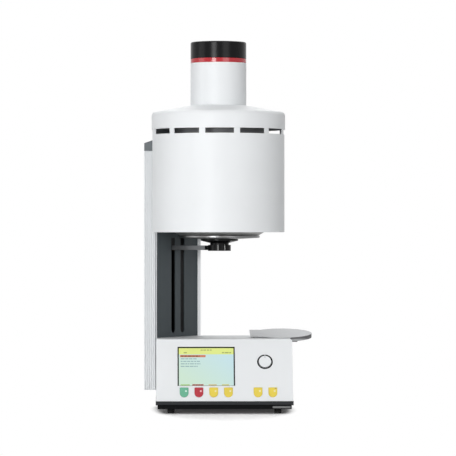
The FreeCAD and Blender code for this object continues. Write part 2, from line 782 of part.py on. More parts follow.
def make_inlet():
    half_z = inlet_height / 2
    low_x = inlet_x - inlet_width / 2
    high_x = inlet_x + inlet_width / 2
    back = rear_y + inlet_face
    case = block(
        base_mid_x + low_x,
        base_mid_x + high_x,
        rear_y - inlet_depth,
        back,
        inlet_z - half_z,
        inlet_z + half_z,
        name="inlet_case",
    )
    face = block(
        base_mid_x + low_x - inlet_flange,
        base_mid_x + high_x + inlet_flange,
        rear_y,
        back,
        inlet_z - half_z - inlet_flange,
        inlet_z + half_z + inlet_flange,
        name="inlet_flange",
    )
    socket = block(
        base_mid_x + socket_x - socket_width / 2,
        base_mid_x + socket_x + socket_width / 2,
        back - socket_depth,
        back + 1,
        inlet_z - socket_height / 2,
        inlet_z + socket_height / 2,
        name="socket",
    )
    well = block(
        base_mid_x + rocker_x - aperture_half_x,
        base_mid_x + rocker_x + aperture_half_x,
        back - rocker_half * 2,
        back + 1,
        inlet_z - aperture_half_z,
        inlet_z + aperture_half_z,
        name="rocker_well",
    )
    pivot_y = back - pivot_radius * 2
    hole_length = rocker_width + 4
    hole = rod(
        pivot_radius + run_gap,
        hole_length,
        base_mid_x + rocker_x - hole_length / 2,
        pivot_y,
        inlet_z,
        (0, 1, 0),
        90,
        name="pivot_hole",
    )
    hollowed = cut(fuse(case, face), socket, well, hole, name="inlet_shell")
    pins = []
    for x, z in ((-7, -2.5), (0, 2.5), (7, -2.5)):
        pin = block(
            base_mid_x + socket_x + x - 1,
            base_mid_x + socket_x + x + 1,
            back - socket_depth,
            back - socket_depth + pin_length,
            inlet_z + z - 2,
            inlet_z + z + 2,
            name="contact_pin",
        )
        pins.append(pin)
    node(fuse(hollowed, *pins), "power_inlet")

    rocker = body("mains_rocker", base_mid_x + rocker_x, pivot_y, inlet_z, (1, 0, 0), rocker_tilt)
    section = [
        (-5.6, rocker_half * -0.7),
        (2.6, -rocker_half),
        (1.8, 0),
        (2.6, rocker_half),
        (-5.6, rocker_half * 0.7),
    ]
    pad(rocker, polygon(rocker, "YZ", section, -rocker_width / 2), rocker_width)
    pin_reach = rocker_width / 2 + 1.5
    pad(rocker, circles(rocker, "YZ", [(0, 0, pivot_radius)], -pin_reach), pin_reach * 2)


def make_vacuum_nipple():
    nipple = body("vacuum_nipple", base_mid_x + nipple_x, rear_y, nipple_z, (1, 0, 0), -90)
    barb = nipple_radius
    outline = [
        (nipple_bore, -14),
        (nipple_radius, -14),
        (nipple_radius, 0),
        (nipple_radius + 4, 0),
        (nipple_radius + 4, 3),
        (barb, 3),
        (barb, nipple_length - 3),
        (barb, nipple_length),
        (nipple_bore, nipple_length),
    ]
    turn(nipple, outline)
    round_edges(nipple, 0.8, circle_edge(nipple_radius, nipple_length), "Chamfer")


# Column

profile_width = size("profile_width", 23.8, "width of the ribbed profile")
profile_gap = size("profile_gap", 2.3, "ribbed profile to the base's side")
profile_rear_gap = size("profile_rear_gap", 3.0, "ribbed profile's back to the back of the base")
profile_depth = size("profile_depth", 96.0, "depth of the ribbed profile")
profile_wall = size("profile_wall", 3.0, "wall of the ribbed profile")
profile_low_z = size("profile_low_z", 39.7, "lower end of the ribbed profile")
rib_pitch = size("rib_pitch", 4.4, "pitch of the ribs")
rib_groove = size("rib_groove", 1.6, "width of a groove between ribs")
rib_depth = size("rib_depth", 1.4, "depth of a groove between ribs")
housing_lip = size("housing_lip", 6.8, "white strip beside the far end of the cover")
lip_depth = size("lip_depth", 2.0, "near strip's thickness")
cap_rise = size("cap_rise", 16.7, "height of the cap at its outer edge")
cap_slope = size("cap_slope", 19.4, "slope of the cap, in degrees")
cap_wall = size("cap_wall", 3.0, "wall of the cap")
cap_run = size("cap_run", 22.0, "length of the cap's slope")

profile_left = base_left - profile_gap - profile_width
profile_y = rear_y - profile_rear_gap - profile_depth
housing_right = far_x + housing_lip
housing_rear = rear_y - 1


def make_column_profile():
    profile = body("column_profile", profile_left, profile_y, profile_low_z)
    height = column_top_z - profile_low_z
    pad(profile, rectangle(profile, "XY", 0, profile_width, 0, profile_depth), height)
    foot_width = profile_depth / 10
    for low in (foot_width, profile_depth - foot_width * 2):
        foot = rectangle(profile, "XY", profile_width, profile_width + profile_gap, low, low + foot_width)
        pad(profile, foot, height)
    round_edges(profile, 2, straight_edge("z", x=0))
    hollow_right = profile_width - profile_wall
    hollow_back = profile_depth - profile_wall
    hollow = rectangle(profile, "XY", profile_wall, hollow_right, profile_wall * 1.5, hollow_back, height)
    pocket(profile, hollow, height)
    start = (profile_width - rib_pitch * 4 - rib_groove) / 2
    groove = rectangle(profile, "XY", start, start + rib_groove, -1, rib_depth, height)
    first = pocket(profile, groove, height)
    row_of(profile, first, "X", rib_pitch, 5)


def make_column_housing():
    """The white sheet corner behind the slotted cover, with a strip at each side of it."""
    left = base_left
    inner = left + cover_wall
    section = [
        (left, near_y - lip_depth),
        (inner, near_y - lip_depth),
        (inner, housing_rear - cover_wall),
        (far_x + bezel_gap, housing_rear - cover_wall),
        (far_x + bezel_gap, far_y - lip_depth),
        (housing_right, far_y - lip_depth),
        (housing_right, housing_rear),
        (left, housing_rear),
    ]
    housing = body("column_housing", 0, 0, base_top_z)
    pad(housing, polygon(housing, "XY", section), column_top_z - base_top_z)


def make_column_cover():
    cover = column_body("column_cover", base_top_z)
    height = column_top_z - base_top_z
    pad(cover, rectangle(cover, "YZ", -cover_half, cover_half, 0, height), cover_wall, backwards=True)
    half = slot_width / 2
    low = fork_low_z - lift_travel - slot_under - base_top_z + half
    rise = fork_top_z + slot_over - base_top_z - low
    for side in (-1, 1):
        outline = tongue(cover, "YZ", side * slot_pitch / 2, low, half, rise)
        pocket(cover, outline, cover_wall * 2)


def make_column_cap():
    """The dark cap over the ribbed profile and the housing, sloped up to the hood."""
    top = cap_rise + cap_run * sine(cap_slope) / cosine(cap_slope)
    cap = body("column_cap", 0, 0, column_top_z)
    front = profile_y
    back = front + profile_depth
    plan = [
        (profile_left, front),
        (base_left, front),
        (base_left, near_y - lip_depth),
        (near_x, near_y - lip_depth),
        (far_x, far_y - lip_depth),
        (housing_right, far_y - lip_depth),
        (housing_right, back),
        (profile_left, back),
    ]
    pad(cap, polygon(cap, "XY", plan), top)
    wedge = [
        (profile_left - 1, cap_rise - sine(cap_slope) / cosine(cap_slope)),
        (profile_left + cap_run, top),
        (profile_left + cap_run, top + 1),
        (profile_left - 1, top + 1),
    ]
    pocket(cap, polygon(cap, "XZ", wedge, -(housing_rear + 10)), base_depth, along_normal=True)
    inner = [
        (profile_left + cap_wall, front + cap_wall),
        (base_left + cap_wall, front + cap_wall),
        (base_left + cap_wall, near_y + cap_wall * 2.5),
        (far_x - cap_wall * 1.5, back - cap_wall),
        (profile_left + cap_wall, back - cap_wall),
    ]
    pocket(cap, polygon(cap, "XY", inner), cap_rise - cap_wall * 1.5, along_normal=True)


rod_radius = size("rod_radius", 5.0, "radius of a guide rod")
rod_pitch = size("rod_pitch", 44.0, "distance between the guide rods")
rod_drop = size("rod_drop", 8.5, "top of the guide rods below the column's top")
rod_block_half = size("rod_block_half", 33.0, "half the width of a rod block")
rod_block_height = size("rod_block_height", 7.5, "height of a rod block")
rod_block_depth = size("rod_block_depth", 29.0, "depth of a rod block")
collar_radius = size("collar_radius", 7.5, "radius of the screw's collar")
rod_top_z = column_top_z - rod_drop


def column_circles(part, spots, start):
    return circles(part, "XY", [(-screw_back, y, radius) for y, radius in spots], start)


def rod_block(label_z):
    """One block that holds both rods and the screw against the cover."""
    part = doc.addObject("PartDesign::Body", "rod_block")
    column_place(part, label_z)
    back = -cover_wall - rod_block_depth
    pad(part, rectangle(part, "XY", back, -cover_wall, -rod_block_half, rod_block_half), rod_block_height)
    round_edges(part, 3, straight_edge("z", x=back), "Chamfer")
    rod_bore = rod_radius + run_gap
    spots = [(-rod_pitch / 2, rod_bore), (0, screw_radius + run_gap), (rod_pitch / 2, rod_bore)]
    pocket(part, column_circles(part, spots, rod_block_height), rod_block_height)
    return part


def make_column_inside():
    rods = []
    for side in (-1, 1):
        piece = doc.addObject("PartDesign::Body", "guide_rod")
        column_place(piece, base_top_z)
        outline = circles(piece, "XY", [(-screw_back, side * rod_pitch / 2, rod_radius)])
        pad(piece, outline, rod_top_z - base_top_z)
        rods.append(piece)
    node(group(*rods), "guide_rods")
    upper_z = rod_top_z - rod_block_height
    node(group(rod_block(base_top_z), rod_block(upper_z)), "rod_blocks")


def make_lift_screw():
    """A trapezoidal screw as plain turned shaft, with the collar that carries it."""
    low_z = base_top_z - cover_wall - motor_drop - motor_height
    collar_low = motor_height + seat_gap
    collar_high = collar_low + motor_drop * 0.6
    screw = column_body("lift_screw", low_z)
    shaft = circles(screw, "XY", [(-screw_back, 0, screw_radius)])
    pad(screw, shaft, rod_top_z - low_z - 1)
    collar = circles(screw, "XY", [(-screw_back, 0, collar_radius)], collar_low)
    pad(screw, collar, collar_high - collar_low)


# Lift

lift_travel = size("lift_travel", 170.0, "travel of the lift below its closed place")
flange_drop = size("flange_drop", 7.2, "chamber flange below the hood's lower edge")
seal_gap = size("seal_gap", 0.4, "closed lift plate to the chamber flange")
plate_rim = size("plate_rim", 4.4, "height of the lift plate's rim")
plate_bulge = size("plate_bulge", 2.5, "lift plate's underside, from its rim to its middle")
dish_rim = size("dish_rim", 3.5, "height of the dish's rim")
dish_height = size("dish_height", 5.0, "height of the dish's cone")
neck_height = size("neck_height", 4.0, "height of the hub's neck")
hub_rim = size("hub_rim", 1.4, "hub's rim above the fork")
hub_washer = size("hub_washer", 1.7, "hub's washer under the fork")
fork_height = size("fork_height", 9.6, "thickness of the lift fork")
arm_width = size("arm_width", 11.0, "width of a fork arm")
carriage_half = size("carriage_half", 31.5, "half the width of the carriage")
carriage_front = size("carriage_front", 12.0, "carriage's front face behind the cover's face")
carriage_depth = size("carriage_depth", 19.0, "depth of the carriage")
carriage_height = size("carriage_height", 36.0, "height of the carriage")
bush_wall = size("bush_wall", 2.5, "wall of a carriage bush")
bush_rim = size("bush_rim", 1.5, "bush end outside the carriage")
nut_radius = size("nut_radius", 8.5, "radius of the lift nut")
hub_radius = size("hub_radius", 24.4, "radius of the lift hub")
seat_radius = size("seat_radius", 21.8, "radius of the fork's seat in the hub")
mouth_half = size("mouth_half", 12.0, "half the width of the hub's mouth for the fork")
fork_clear = size("fork_clear", 1.5, "fork's crossbar to the hub's ring")
arm_over = size("arm_over", 4.0, "fork arms beyond the crossbar")
bar_width = size("bar_width", 14.0, "width of the fork's crossbar")
neck_radius = size("neck_radius", 20.0, "radius of the hub's neck")
dish_radius = size("dish_radius", 40.0, "radius of the dish under the lift plate")
spigot_radius = size("spigot_radius", 9.0, "radius of the hub's spigot through the fork")
plate_radius = size("plate_radius", 86.3, "radius of the lift plate")
seal_radius = size("seal_radius", 79.0, "middle radius of the seal ring")
seal_section = size("seal_section", 2.0, "radius of the seal ring's section")
pedestal_radius = size("pedestal_radius", 43.0, "radius of the pedestal")
pedestal_height = size("pedestal_height", 34.6, "height of the pedestal")
table_height = size("table_height", 4.0, "thickness of the firing table")
table_radius = size("table_radius", 44.5, "radius of the firing table")

flange_low_z = hood_low_z - flange_drop
plate_top_z = flange_low_z - seal_gap
plate_low_z = plate_top_z - plate_rim
dish_top_z = plate_low_z - plate_bulge
dish_edge_z = dish_top_z - dish_rim
neck_high_z = dish_edge_z - dish_height
hub_high_z = neck_high_z - neck_height
fork_top_z = hub_high_z - hub_rim
fork_low_z = fork_top_z - fork_height
hub_low_z = fork_low_z - hub_washer
table_low_z = plate_top_z + pedestal_height


def make_carriage():
    carriage = column_body("lift_carriage", fork_low_z)
    back = -carriage_front - carriage_depth
    outline = rectangle(carriage, "XY", back, -carriage_front, -carriage_half, carriage_half)
    pad(carriage, outline, carriage_height)
    round_edges(carriage, 3, straight_edge("z", x=back), "Chamfer")
    bush_radius = rod_radius + bush_wall
    spots = [(-rod_pitch / 2, bush_radius), (0, nut_radius), (rod_pitch / 2, bush_radius)]
    pocket(carriage, column_circles(carriage, spots, carriage_height), carriage_height)
    relief = rectangle(carriage, "YZ", -arm_width, arm_width, fork_height + 4, carriage_height - 6, -carriage_front)
    pocket(carriage, relief, 1.5)

    bushes = []
    for side in (-1, 1):
        bush = doc.addObject("PartDesign::Body", "carriage_bush")
        column_place(bush, fork_low_z - bush_rim)
        length = carriage_height + bush_rim * 2
        pad(bush, column_circles(bush, [(side * rod_pitch / 2, bush_radius)], 0), length)
        pocket(bush, column_circles(bush, [(side * rod_pitch / 2, rod_radius + run_gap)], length), length)
        bushes.append(bush)
    node(group(*bushes), "carriage_bushes")

    nut = column_body("lift_nut", fork_low_z)
    pad(nut, column_circles(nut, [(0, nut_radius)], 0), carriage_height)
    flange = column_circles(nut, [(0, nut_radius + 4)], carriage_height)
    pad(nut, flange, 3)
    pocket(nut, column_circles(nut, [(0, screw_radius + run_gap)], carriage_height + 3), carriage_height + 3)


def make_fork():
    """Two arms through the slots, joined by a crossbar that carries the round seat."""
    fork = column_body("lift_fork", fork_low_z)
    half = arm_width / 2
    bar_end = column_reach - hub_radius - fork_clear
    arm_end = bar_end + arm_over
    outer = slot_pitch / 2 + half
    first = rectangle(fork, "XY", -carriage_front, arm_end, outer - arm_width, outer)
    pad(fork, first, fork_height)
    bar = rectangle(fork, "XY", bar_end - bar_width, bar_end, -outer, outer)
    pad(fork, bar, fork_height)
    second = rectangle(fork, "XY", -carriage_front, arm_end, -outer, arm_width - outer)
    pad(fork, second, fork_height)
    neck_half = mouth_half - run_gap
    pad(fork, rectangle(fork, "XY", bar_end - bar_width / 2, column_reach, -neck_half, neck_half), fork_height)
    pad(fork, circles(fork, "XY", [(column_reach, 0, seat_radius - run_gap)]), fork_height)
    seat = circles(fork, "XY", [(column_reach, 0, spigot_radius + run_gap)], fork_height)
    pocket(fork, seat, fork_height)


def axis_body(label, z=0):
    return body(label, axis_x, axis_y, z)


def make_hub():
    """The hub clamps the fork's seat in a ring that is open towards the column."""
    hub = body("lift_hub", axis_x, axis_y, 0, (0, 0, 1), -column_turn)
    outline = [
        (0, hub_low_z),
        (hub_radius, hub_low_z),
        (hub_radius, hub_high_z),
        (neck_radius, hub_high_z),
        (neck_radius, neck_high_z),
        (dish_radius, dish_edge_z),
        (dish_radius, dish_top_z),
        (0, dish_top_z),
    ]
    turn(hub, outline)
    ring = circles(hub, "XY", [(0, 0, seat_radius), (0, 0, spigot_radius)], fork_top_z)
    pocket(hub, ring, fork_height)
    mouth_end = (spigot_radius + seat_radius) / 2
    mouth = rectangle(hub, "XY", -hub_radius - 1, -mouth_end, -mouth_half, mouth_half, fork_top_z)
    pocket(hub, mouth, fork_height)


def make_lift_plate():
    plate = axis_body("lift_plate")
    groove_low = plate_top_z - seal_section
    outline = [
        (0, dish_top_z),
        (dish_radius, dish_top_z),
        (plate_radius - 2, plate_low_z),
        (plate_radius, plate_low_z + 1),
        (plate_radius, plate_top_z),
        (seal_radius + seal_section, plate_top_z),
        (seal_radius + seal_section, groove_low),
        (seal_radius - seal_section, groove_low),
        (seal_radius - seal_section, plate_top_z),
        (0, plate_top_z),
    ]
    turn(plate, outline)

    seal = doc.addObject("Part::Torus", "seal_ring")
    squeezed = seal_section * 0.55
    bind(seal, "Radius1", seal_radius)
    bind(seal, "Radius2", squeezed)
    node(place(seal, axis_x, axis_y, groove_low + squeezed), "seal_ring")

    pedestal = axis_body("pedestal")
    outline = [
        (0, plate_top_z),
        (pedestal_radius - 4, plate_top_z),
        (pedestal_radius - 4, plate_top_z + 6),
        (pedestal_radius, plate_top_z + 6),
        (pedestal_radius, table_low_z),
        (0, table_low_z),
    ]
    turn(pedestal, outline)

    table = axis_body("firing_table")
    table_top = table_low_z + table_height
    rim = 5
    outline = [
        (0, table_low_z),
        (table_radius, table_low_z),
        (table_radius, table_top + 1),
        (table_radius - rim, table_top + 1),
        (table_radius - rim, table_top),
        (0, table_top),
    ]
    turn(table, outline)
    round_edges(table, 0.8, circle_edge(table_radius, table_top + 1), "Chamfer")


# Head

hood_shift = size("hood_shift", 2.1, "hood's axis, left of the chamber's axis")
hood_radius = size("hood_radius", 141.0, "outer radius of the hood shell")
vent_height = size("vent_height", 11.0, "height of a vent")
vent_width = size("vent_width", 60.0, "width of a vent")
vent_step = size("vent_step", 30.0, "angle between two vents, in degrees")
VENTS_RIGHT = 7
VENTS_LEFT = 3
notch_gap = size("notch_gap", 1.2, "clearance of the hood around the column")
head_plate_wall = size("head_plate_wall", 3.0, "thickness of the head plate")
head_bore = size("head_bore", 80.0, "radius of the head plate's bore")
flange_radius = size("flange_radius", 95.3, "radius of the chamber flange under the head plate")
flange_low_radius = size("flange_low_radius", 83.5, "radius of the chamber flange's lower face")
throat_radius = size("throat_radius", 47.5, "radius of the chamber's throat")
can_radius = size("can_radius", 95.0, "radius of the chamber can")
can_wall = size("can_wall", 1.2, "sheet thickness of the chamber can")
can_height = size("can_height", 220.0, "height of the chamber can")
muffle_height = size("muffle_height", 141.0, "height of the muffle")
ceiling_gap = size("ceiling_gap", 2.0, "muffle's top to the insulation's ceiling")
coil_rise = size("coil_rise", 11.0, "lower end of the heating coil above the muffle's foot")
muffle_inner = size("muffle_inner", 49.0, "inner radius of the muffle")
muffle_wall = size("muffle_wall", 3.5, "wall of the muffle")
coil_gap = size("coil_gap", 0.5, "muffle to heating coil")
coil_width = size("coil_width", 2.4, "thickness of the heating coil")
COIL_TURNS = 7
ram_bore = size("ram_bore", 11.0, "radius of the plunger's bore in the insulation")

head_top_z = hood_low_z + head_plate_wall
can_high_z = head_top_z + can_height
muffle_high_z = head_top_z + muffle_height
ceiling_z = muffle_high_z + ceiling_gap
coil_low_z = head_top_z + coil_rise
hood_x = axis_x - hood_shift


def hood_body(label):
    return body(label, hood_x, axis_y)


def make_hood_shell():
    """A round shell with vents in its upper edge, but none over the column."""
    shell = hood_body("hood_shell")
    inner = hood_radius - cover_wall
    outline = [
        (inner, hood_low_z),
        (hood_radius, hood_low_z),
        (hood_radius, hood_high_z),
        (inner, hood_high_z),
    ]
    turn(shell, outline)
    half = vent_width / 2
    vent = rectangle(shell, "XZ", -half, half, hood_high_z - vent_height, hood_high_z + 1)
    first = pocket(shell, vent, hood_radius + 10, along_normal=True)
    ring_of(shell, first, VENTS_RIGHT, vent_step * (VENTS_RIGHT - 1))
    ring_of(shell, first, VENTS_LEFT, vent_step * (VENTS_LEFT - 1), backwards=True)
    notch_left = profile_left - hood_x - notch_gap
    notch_right = housing_right - hood_x + notch_gap
    notch_front = profile_y - axis_y - notch_gap * 4.5
    notch_top = column_top_z + cap_rise + cap_run * sine(cap_slope) / cosine(cap_slope) + notch_gap
    notch_far = far_y - lip_depth - axis_y - notch_gap
    plan = [
        (notch_left, notch_front),
        (-hood_radius * 0.6, notch_front),
        (notch_right, notch_far),
        (notch_right, hood_radius + 10),
        (notch_left, hood_radius + 10),
    ]
    pocket(shell, polygon(shell, "XY", plan, hood_low_z - 1), notch_top - hood_low_z + 1, along_normal=True)


collar_outer = size("collar_outer", 142.5, "outer radius of the hood cover")
collar_skin = size("collar_skin", 3.5, "wall of the hood cover")
collar_height = size("collar_height", 36.0, "height of the hood cover's side")
cone_height = size("cone_height", 15.0, "height of the hood cover's cone")
tube_height = size("tube_height", 90.5, "height of the press tube")
ring_height = size("ring_height", 9.5, "height of the red ring")
cap_height = size("cap_height", 35.4, "height of the black cap")
tube_radius = size("tube_radius", 59.5, "outer radius of the press tube")
tube_wall = size("tube_wall", 2.5, "wall of the press tube")
cap_round = size("cap_round", 3.0, "rounding of the black cap")
collar_round = size("collar_round", 8.0, "rounding of the hood cover")

collar_high_z = hood_high_z + collar_height
tube_low_z = collar_high_z + cone_height
tube_high_z = tube_low_z + tube_height
ring_high_z = tube_high_z + ring_height
cap_high_z = ring_high_z + cap_height


def make_hood_cover():
    cover = hood_body("hood_cover")
    inner = collar_outer - collar_skin
    seat = tube_radius + 2
    opening = tube_radius - tube_wall * 2.6
    outline = [
        (collar_outer, hood_high_z),
        (collar_outer, collar_high_z),
        (seat, tube_low_z),
        (opening, tube_low_z),
        (opening, tube_low_z - cover_wall),
        (seat, tube_low_z - cover_wall),
        (inner, collar_high_z - collar_skin),
        (inner, hood_high_z),
    ]
    turn(cover, outline)
    round_edges(cover, collar_round, circle_edge(collar_outer, collar_high_z))


def make_press_tube():
    tube = hood_body("press_tube")
    inner = tube_radius - tube_wall
    outline = [
        (inner, tube_low_z),
        (tube_radius, tube_low_z),
        (tube_radius, tube_high_z),
        (inner, tube_high_z),
    ]
    turn(tube, outline)

    ring = hood_body("accent_ring")
    spigot = inner - bezel_gap
    outline = [
        (spigot - 2, tube_high_z - 6),
        (spigot, tube_high_z - 6),
        (spigot, tube_high_z),
        (tube_radius, tube_high_z),
        (tube_radius, ring_high_z),
        (spigot - 2, ring_high_z),
    ]
    turn(ring, outline)
    round_edges(ring, 0.6, circle_edge(tube_radius, ring_high_z), "Chamfer")

    cap = hood_body("press_cap")
    neck = spigot - 2 - bezel_gap
    outline = [
        (neck, ring_high_z - 5),
        (neck, ring_high_z),
        (tube_radius, ring_high_z),
        (tube_radius, cap_high_z),
        (0, cap_high_z),
        (0, cap_high_z - tube_wall),
        (inner, cap_high_z - tube_wall),
        (inner, ring_high_z + tube_wall),
        (neck - 2, ring_high_z + tube_wall),
        (neck - 2, ring_high_z - 5),
    ]
    turn(cap, outline)
    round_edges(cap, cap_round, circle_edge(tube_radius, cap_high_z))


bracket_gap = size("bracket_gap", 9.0, "head plate's straight edge to the column's face")
bracket_half = size("bracket_half", 72.0, "half the width of the head bracket")
bracket_height = size("bracket_height", 90.0, "height of the head bracket")
bracket_wall = size("bracket_wall", 3.0, "thickness of the head bracket")
bracket_foot = size("bracket_foot", 42.0, "length of the head bracket's foot")


def make_head_carrier():
    """The round plate that carries the chamber, cut straight where the column passes."""
    plate_radius_out = hood_radius - cover_wall - seat_gap
    disc = rod(plate_radius_out, head_plate_wall, hood_x, axis_y, hood_low_z, name="head_disc")
    bore = rod(head_bore, head_plate_wall, axis_x, axis_y, hood_low_z, name="head_bore")
    edge = doc.addObject("Part::Box", "column_side")
    bind(edge, "Length", plate_radius_out)
    bind(edge, "Width", plate_radius_out * 2)
    bind(edge, "Height", head_plate_wall)
    reach = plate_radius_out - bracket_gap
    place(
        edge,
        column_x - reach * cosine(column_turn) - plate_radius_out * sine(column_turn),
        column_y + reach * sine(column_turn) - plate_radius_out * cosine(column_turn),
        hood_low_z,
        (0, 0, 1),
        -column_turn,
    )
    node(cut(disc, bore, edge), "head_plate")

    bracket = column_body("head_bracket", head_top_z)
    section = [
        (0, 0),
        (bracket_foot, 0),
        (bracket_foot, bracket_wall),
        (bracket_wall, bracket_wall),
        (bracket_wall, bracket_height),
        (0, bracket_height),
    ]
    pad(bracket, polygon(bracket, "XZ", section, -bracket_half), bracket_half * 2)
    clear = circles(bracket, "XY", [(column_reach, 0, can_radius + seat_gap * 2)], bracket_height)
    pocket(bracket, clear, bracket_height)


probe_radius = size("probe_radius", 2.0, "radius of the thermocouple's sheath")
probe_rise = size("probe_rise", 101.0, "height of the thermocouple above the muffle's foot")
probe_z = head_top_z + probe_rise


def probe_hole(part):
    hole = circles(part, "YZ", [(0, probe_z, probe_radius + run_gap)])
    pocket(part, hole, can_radius + 1, along_normal=True)


def make_chamber():
    flange = axis_body("chamber_flange")
    outline = [
        (throat_radius, flange_low_z),
        (flange_low_radius, flange_low_z),
        (flange_radius, hood_low_z),
        (head_bore - bezel_gap, hood_low_z),
        (head_bore - bezel_gap, head_top_z),
        (throat_radius, head_top_z),
    ]
    turn(flange, outline)

    can = axis_body("chamber_can")
    inner = can_radius - can_wall
    hole = ram_bore + 3
    outline = [
        (inner, head_top_z),
        (can_radius, head_top_z),
        (can_radius, can_high_z),
        (hole, can_high_z),
        (hole, can_high_z - can_wall),
        (inner, can_high_z - can_wall),
    ]
    turn(can, outline)
    probe_hole(can)

    filling = axis_body("insulation")
    outer = inner - bezel_gap
    coil_outer = muffle_inner + muffle_wall + coil_gap + coil_width
    top = can_high_z - can_wall
    outline = [
        (coil_outer + coil_gap, head_top_z),
        (outer, head_top_z),
        (outer, top),
        (ram_bore, top),
        (ram_bore, ceiling_z),
        (coil_outer + coil_gap, ceiling_z),
    ]
    turn(filling, outline)
    probe_hole(filling)

    muffle = axis_body("muffle")
    outer = muffle_inner + muffle_wall
    outline = [
        (muffle_inner, head_top_z),
        (outer, head_top_z),
        (outer, muffle_high_z),
        (muffle_inner, muffle_high_z),
    ]
    turn(muffle, outline)

    coil = axis_body("heating_coil", coil_low_z)
    coil_inner = muffle_inner + muffle_wall + coil_gap
    wire = rectangle(coil, "XZ", coil_inner, coil_inner + coil_width, 0, coil_width)
    winding = coil.newObject("PartDesign::AdditiveHelix", "winding")
    winding.Profile = wire
    winding.ReferenceAxis = (wire, ["V_Axis"])
    winding.Mode = "pitch-height-angle"
    coil_height = muffle_height - coil_rise * 1.36
    bind(winding, "Pitch", coil_height / COIL_TURNS)
    bind(winding, "Height", coil_height)
    coil.Tip = winding


# Press

ram_radius = size("ram_radius", 6.0, "radius of the press ram")
ram_drop = size("ram_drop", 1.2, "ram's lower end, raised, below the chamber can's top")
ram_over = size("ram_over", 11.0, "ram's upper end, raised, above the press motor")
ram_travel = size("ram_travel", 55.0, "travel of the press ram")
plunger_up = size("plunger_up", 2.0, "plunger's tip, raised, above the chamber's ceiling")
plunger_size = size("plunger_size", 9.0, "radius of the ceramic plunger")
press_plate_over = size("press_plate_over", 3.0, "upper plate above the hood cover's side")
press_ring_radius = size("press_ring_radius", 48.0, "radius of the press frame's plates")
press_plate_wall = size("press_plate_wall", 5.0, "thickness of the press frame's plates")
press_post_radius = size("press_post_radius", 5.0, "radius of the press frame's posts")
press_post_circle = size("press_post_circle", 38.0, "radius of the circle of posts")
press_motor_radius = size("press_motor_radius", 26.0, "radius of the press motor")
press_motor_height = size("press_motor_height", 80.0, "height of the press motor")
guide_radius = size("guide_radius", 11.5, "outer radius of the press guide")
guide_height = size("guide_height", 24.0, "height of the press guide")

press_plate_z = collar_high_z + press_plate_over
ram_low_z = can_high_z - ram_drop
ram_high_z = press_plate_z + press_plate_wall + press_motor_height + ram_over
plunger_tip_z = ceiling_z + plunger_up


def make_press():
    frame = axis_body("press_frame", can_high_z)
    pad(frame, circles(frame, "XY", [(0, 0, press_ring_radius)]), press_plate_wall)
    upper = press_plate_z - can_high_z
    foot = circles(frame, "XY", [(press_post_circle, 0, press_post_radius)], press_plate_wall / 2)
    post = pad(frame, foot, upper)
    ring_of(frame, post, 3)
    pad(frame, circles(frame, "XY", [(0, 0, press_ring_radius)], upper), press_plate_wall)
    bore = circles(frame, "XY", [(0, 0, guide_radius)], upper + press_plate_wall)
    pocket(frame, bore, upper + press_plate_wall * 2)

    guide = axis_body("press_guide", can_high_z)
    inner = ram_radius + run_gap
    outline = [
        (inner, 0),
        (guide_radius, 0),
        (guide_radius, press_plate_wall),
        (guide_radius + 4, press_plate_wall),
        (guide_radius + 4, press_plate_wall + 4),
        (guide_radius, press_plate_wall + 4),
        (guide_radius, guide_height),
        (inner, guide_height),
    ]
    turn(guide, outline)

    motor = axis_body("press_motor", press_plate_z + press_plate_wall)
    inner = ram_radius + 1
    outline = [
        (inner, 0),
        (press_motor_radius, 0),
        (press_motor_radius, press_motor_height - 6),
        (press_motor_radius - 6, press_motor_height),
        (inner, press_motor_height),
    ]
    turn(motor, outline)

    ram = axis_body("press_ram")
    turn(ram, [(0, ram_low_z), (ram_radius, ram_low_z), (ram_radius, ram_high_z), (0, ram_high_z)])
    round_edges(ram, 1, circle_edge(ram_radius, ram_high_z), "Chamfer")

    plunger = axis_body("press_plunger")
    turn(plunger, [(0, plunger_tip_z), (plunger_size, plunger_tip_z), (plunger_size, ram_low_z), (0, ram_low_z)])
    round_edges(plunger, 1, circle_edge(plunger_size, plunger_tip_z), "Chamfer")


# Tray

tray_x = size("tray_x", 125.05, "middle of the tray, from the base's middle")
tray_depth = size("tray_depth", 170.0, "middle of the tray, behind the front edge")
tray_z = size("tray_z", 162.75, "top of the tray at its middle")
tray_radius = size("tray_radius", 63.85, "radius of the tray")
tray_tilt = size("tray_tilt", 6.8, "tilt of the tray towards the user, in degrees")
tray_wall = size("tray_wall", 1.5, "sheet thickness of the tray")
tab_reach = size("tab_reach", 67.8, "tab's straight edge, left of the tray's middle")
tab_half = size("tab_half", 46.0, "half the width of the tray's tab")
tray_rim = size("tray_rim", 8.5, "height of the rim folded down beside the base")
tray_side_gap = size("tray_side_gap", 0.8, "rim's ends to the base's side")
tray_bracket_reach = size("tray_bracket_reach", 15.0, "tray bracket, out from the base's side")
tray_bracket_drop = size("tray_bracket_drop", 8.8, "tray bracket below the base's top")
tray_bracket_length = size("tray_bracket_length", 40.0, "length of the tray bracket")
post_from_edge = size("post_from_edge", 6.5, "tray post, in from the straight edge")
post_radius = size("post_radius", 3.5, "radius of the tray post")


def tray_body(label):
    """A body on the tray's own tilted plane, whose origin is the middle of its top."""
    return body(label, base_mid_x + tray_x, front_y + tray_depth, tray_z, (1, 0, 0), tray_tilt)


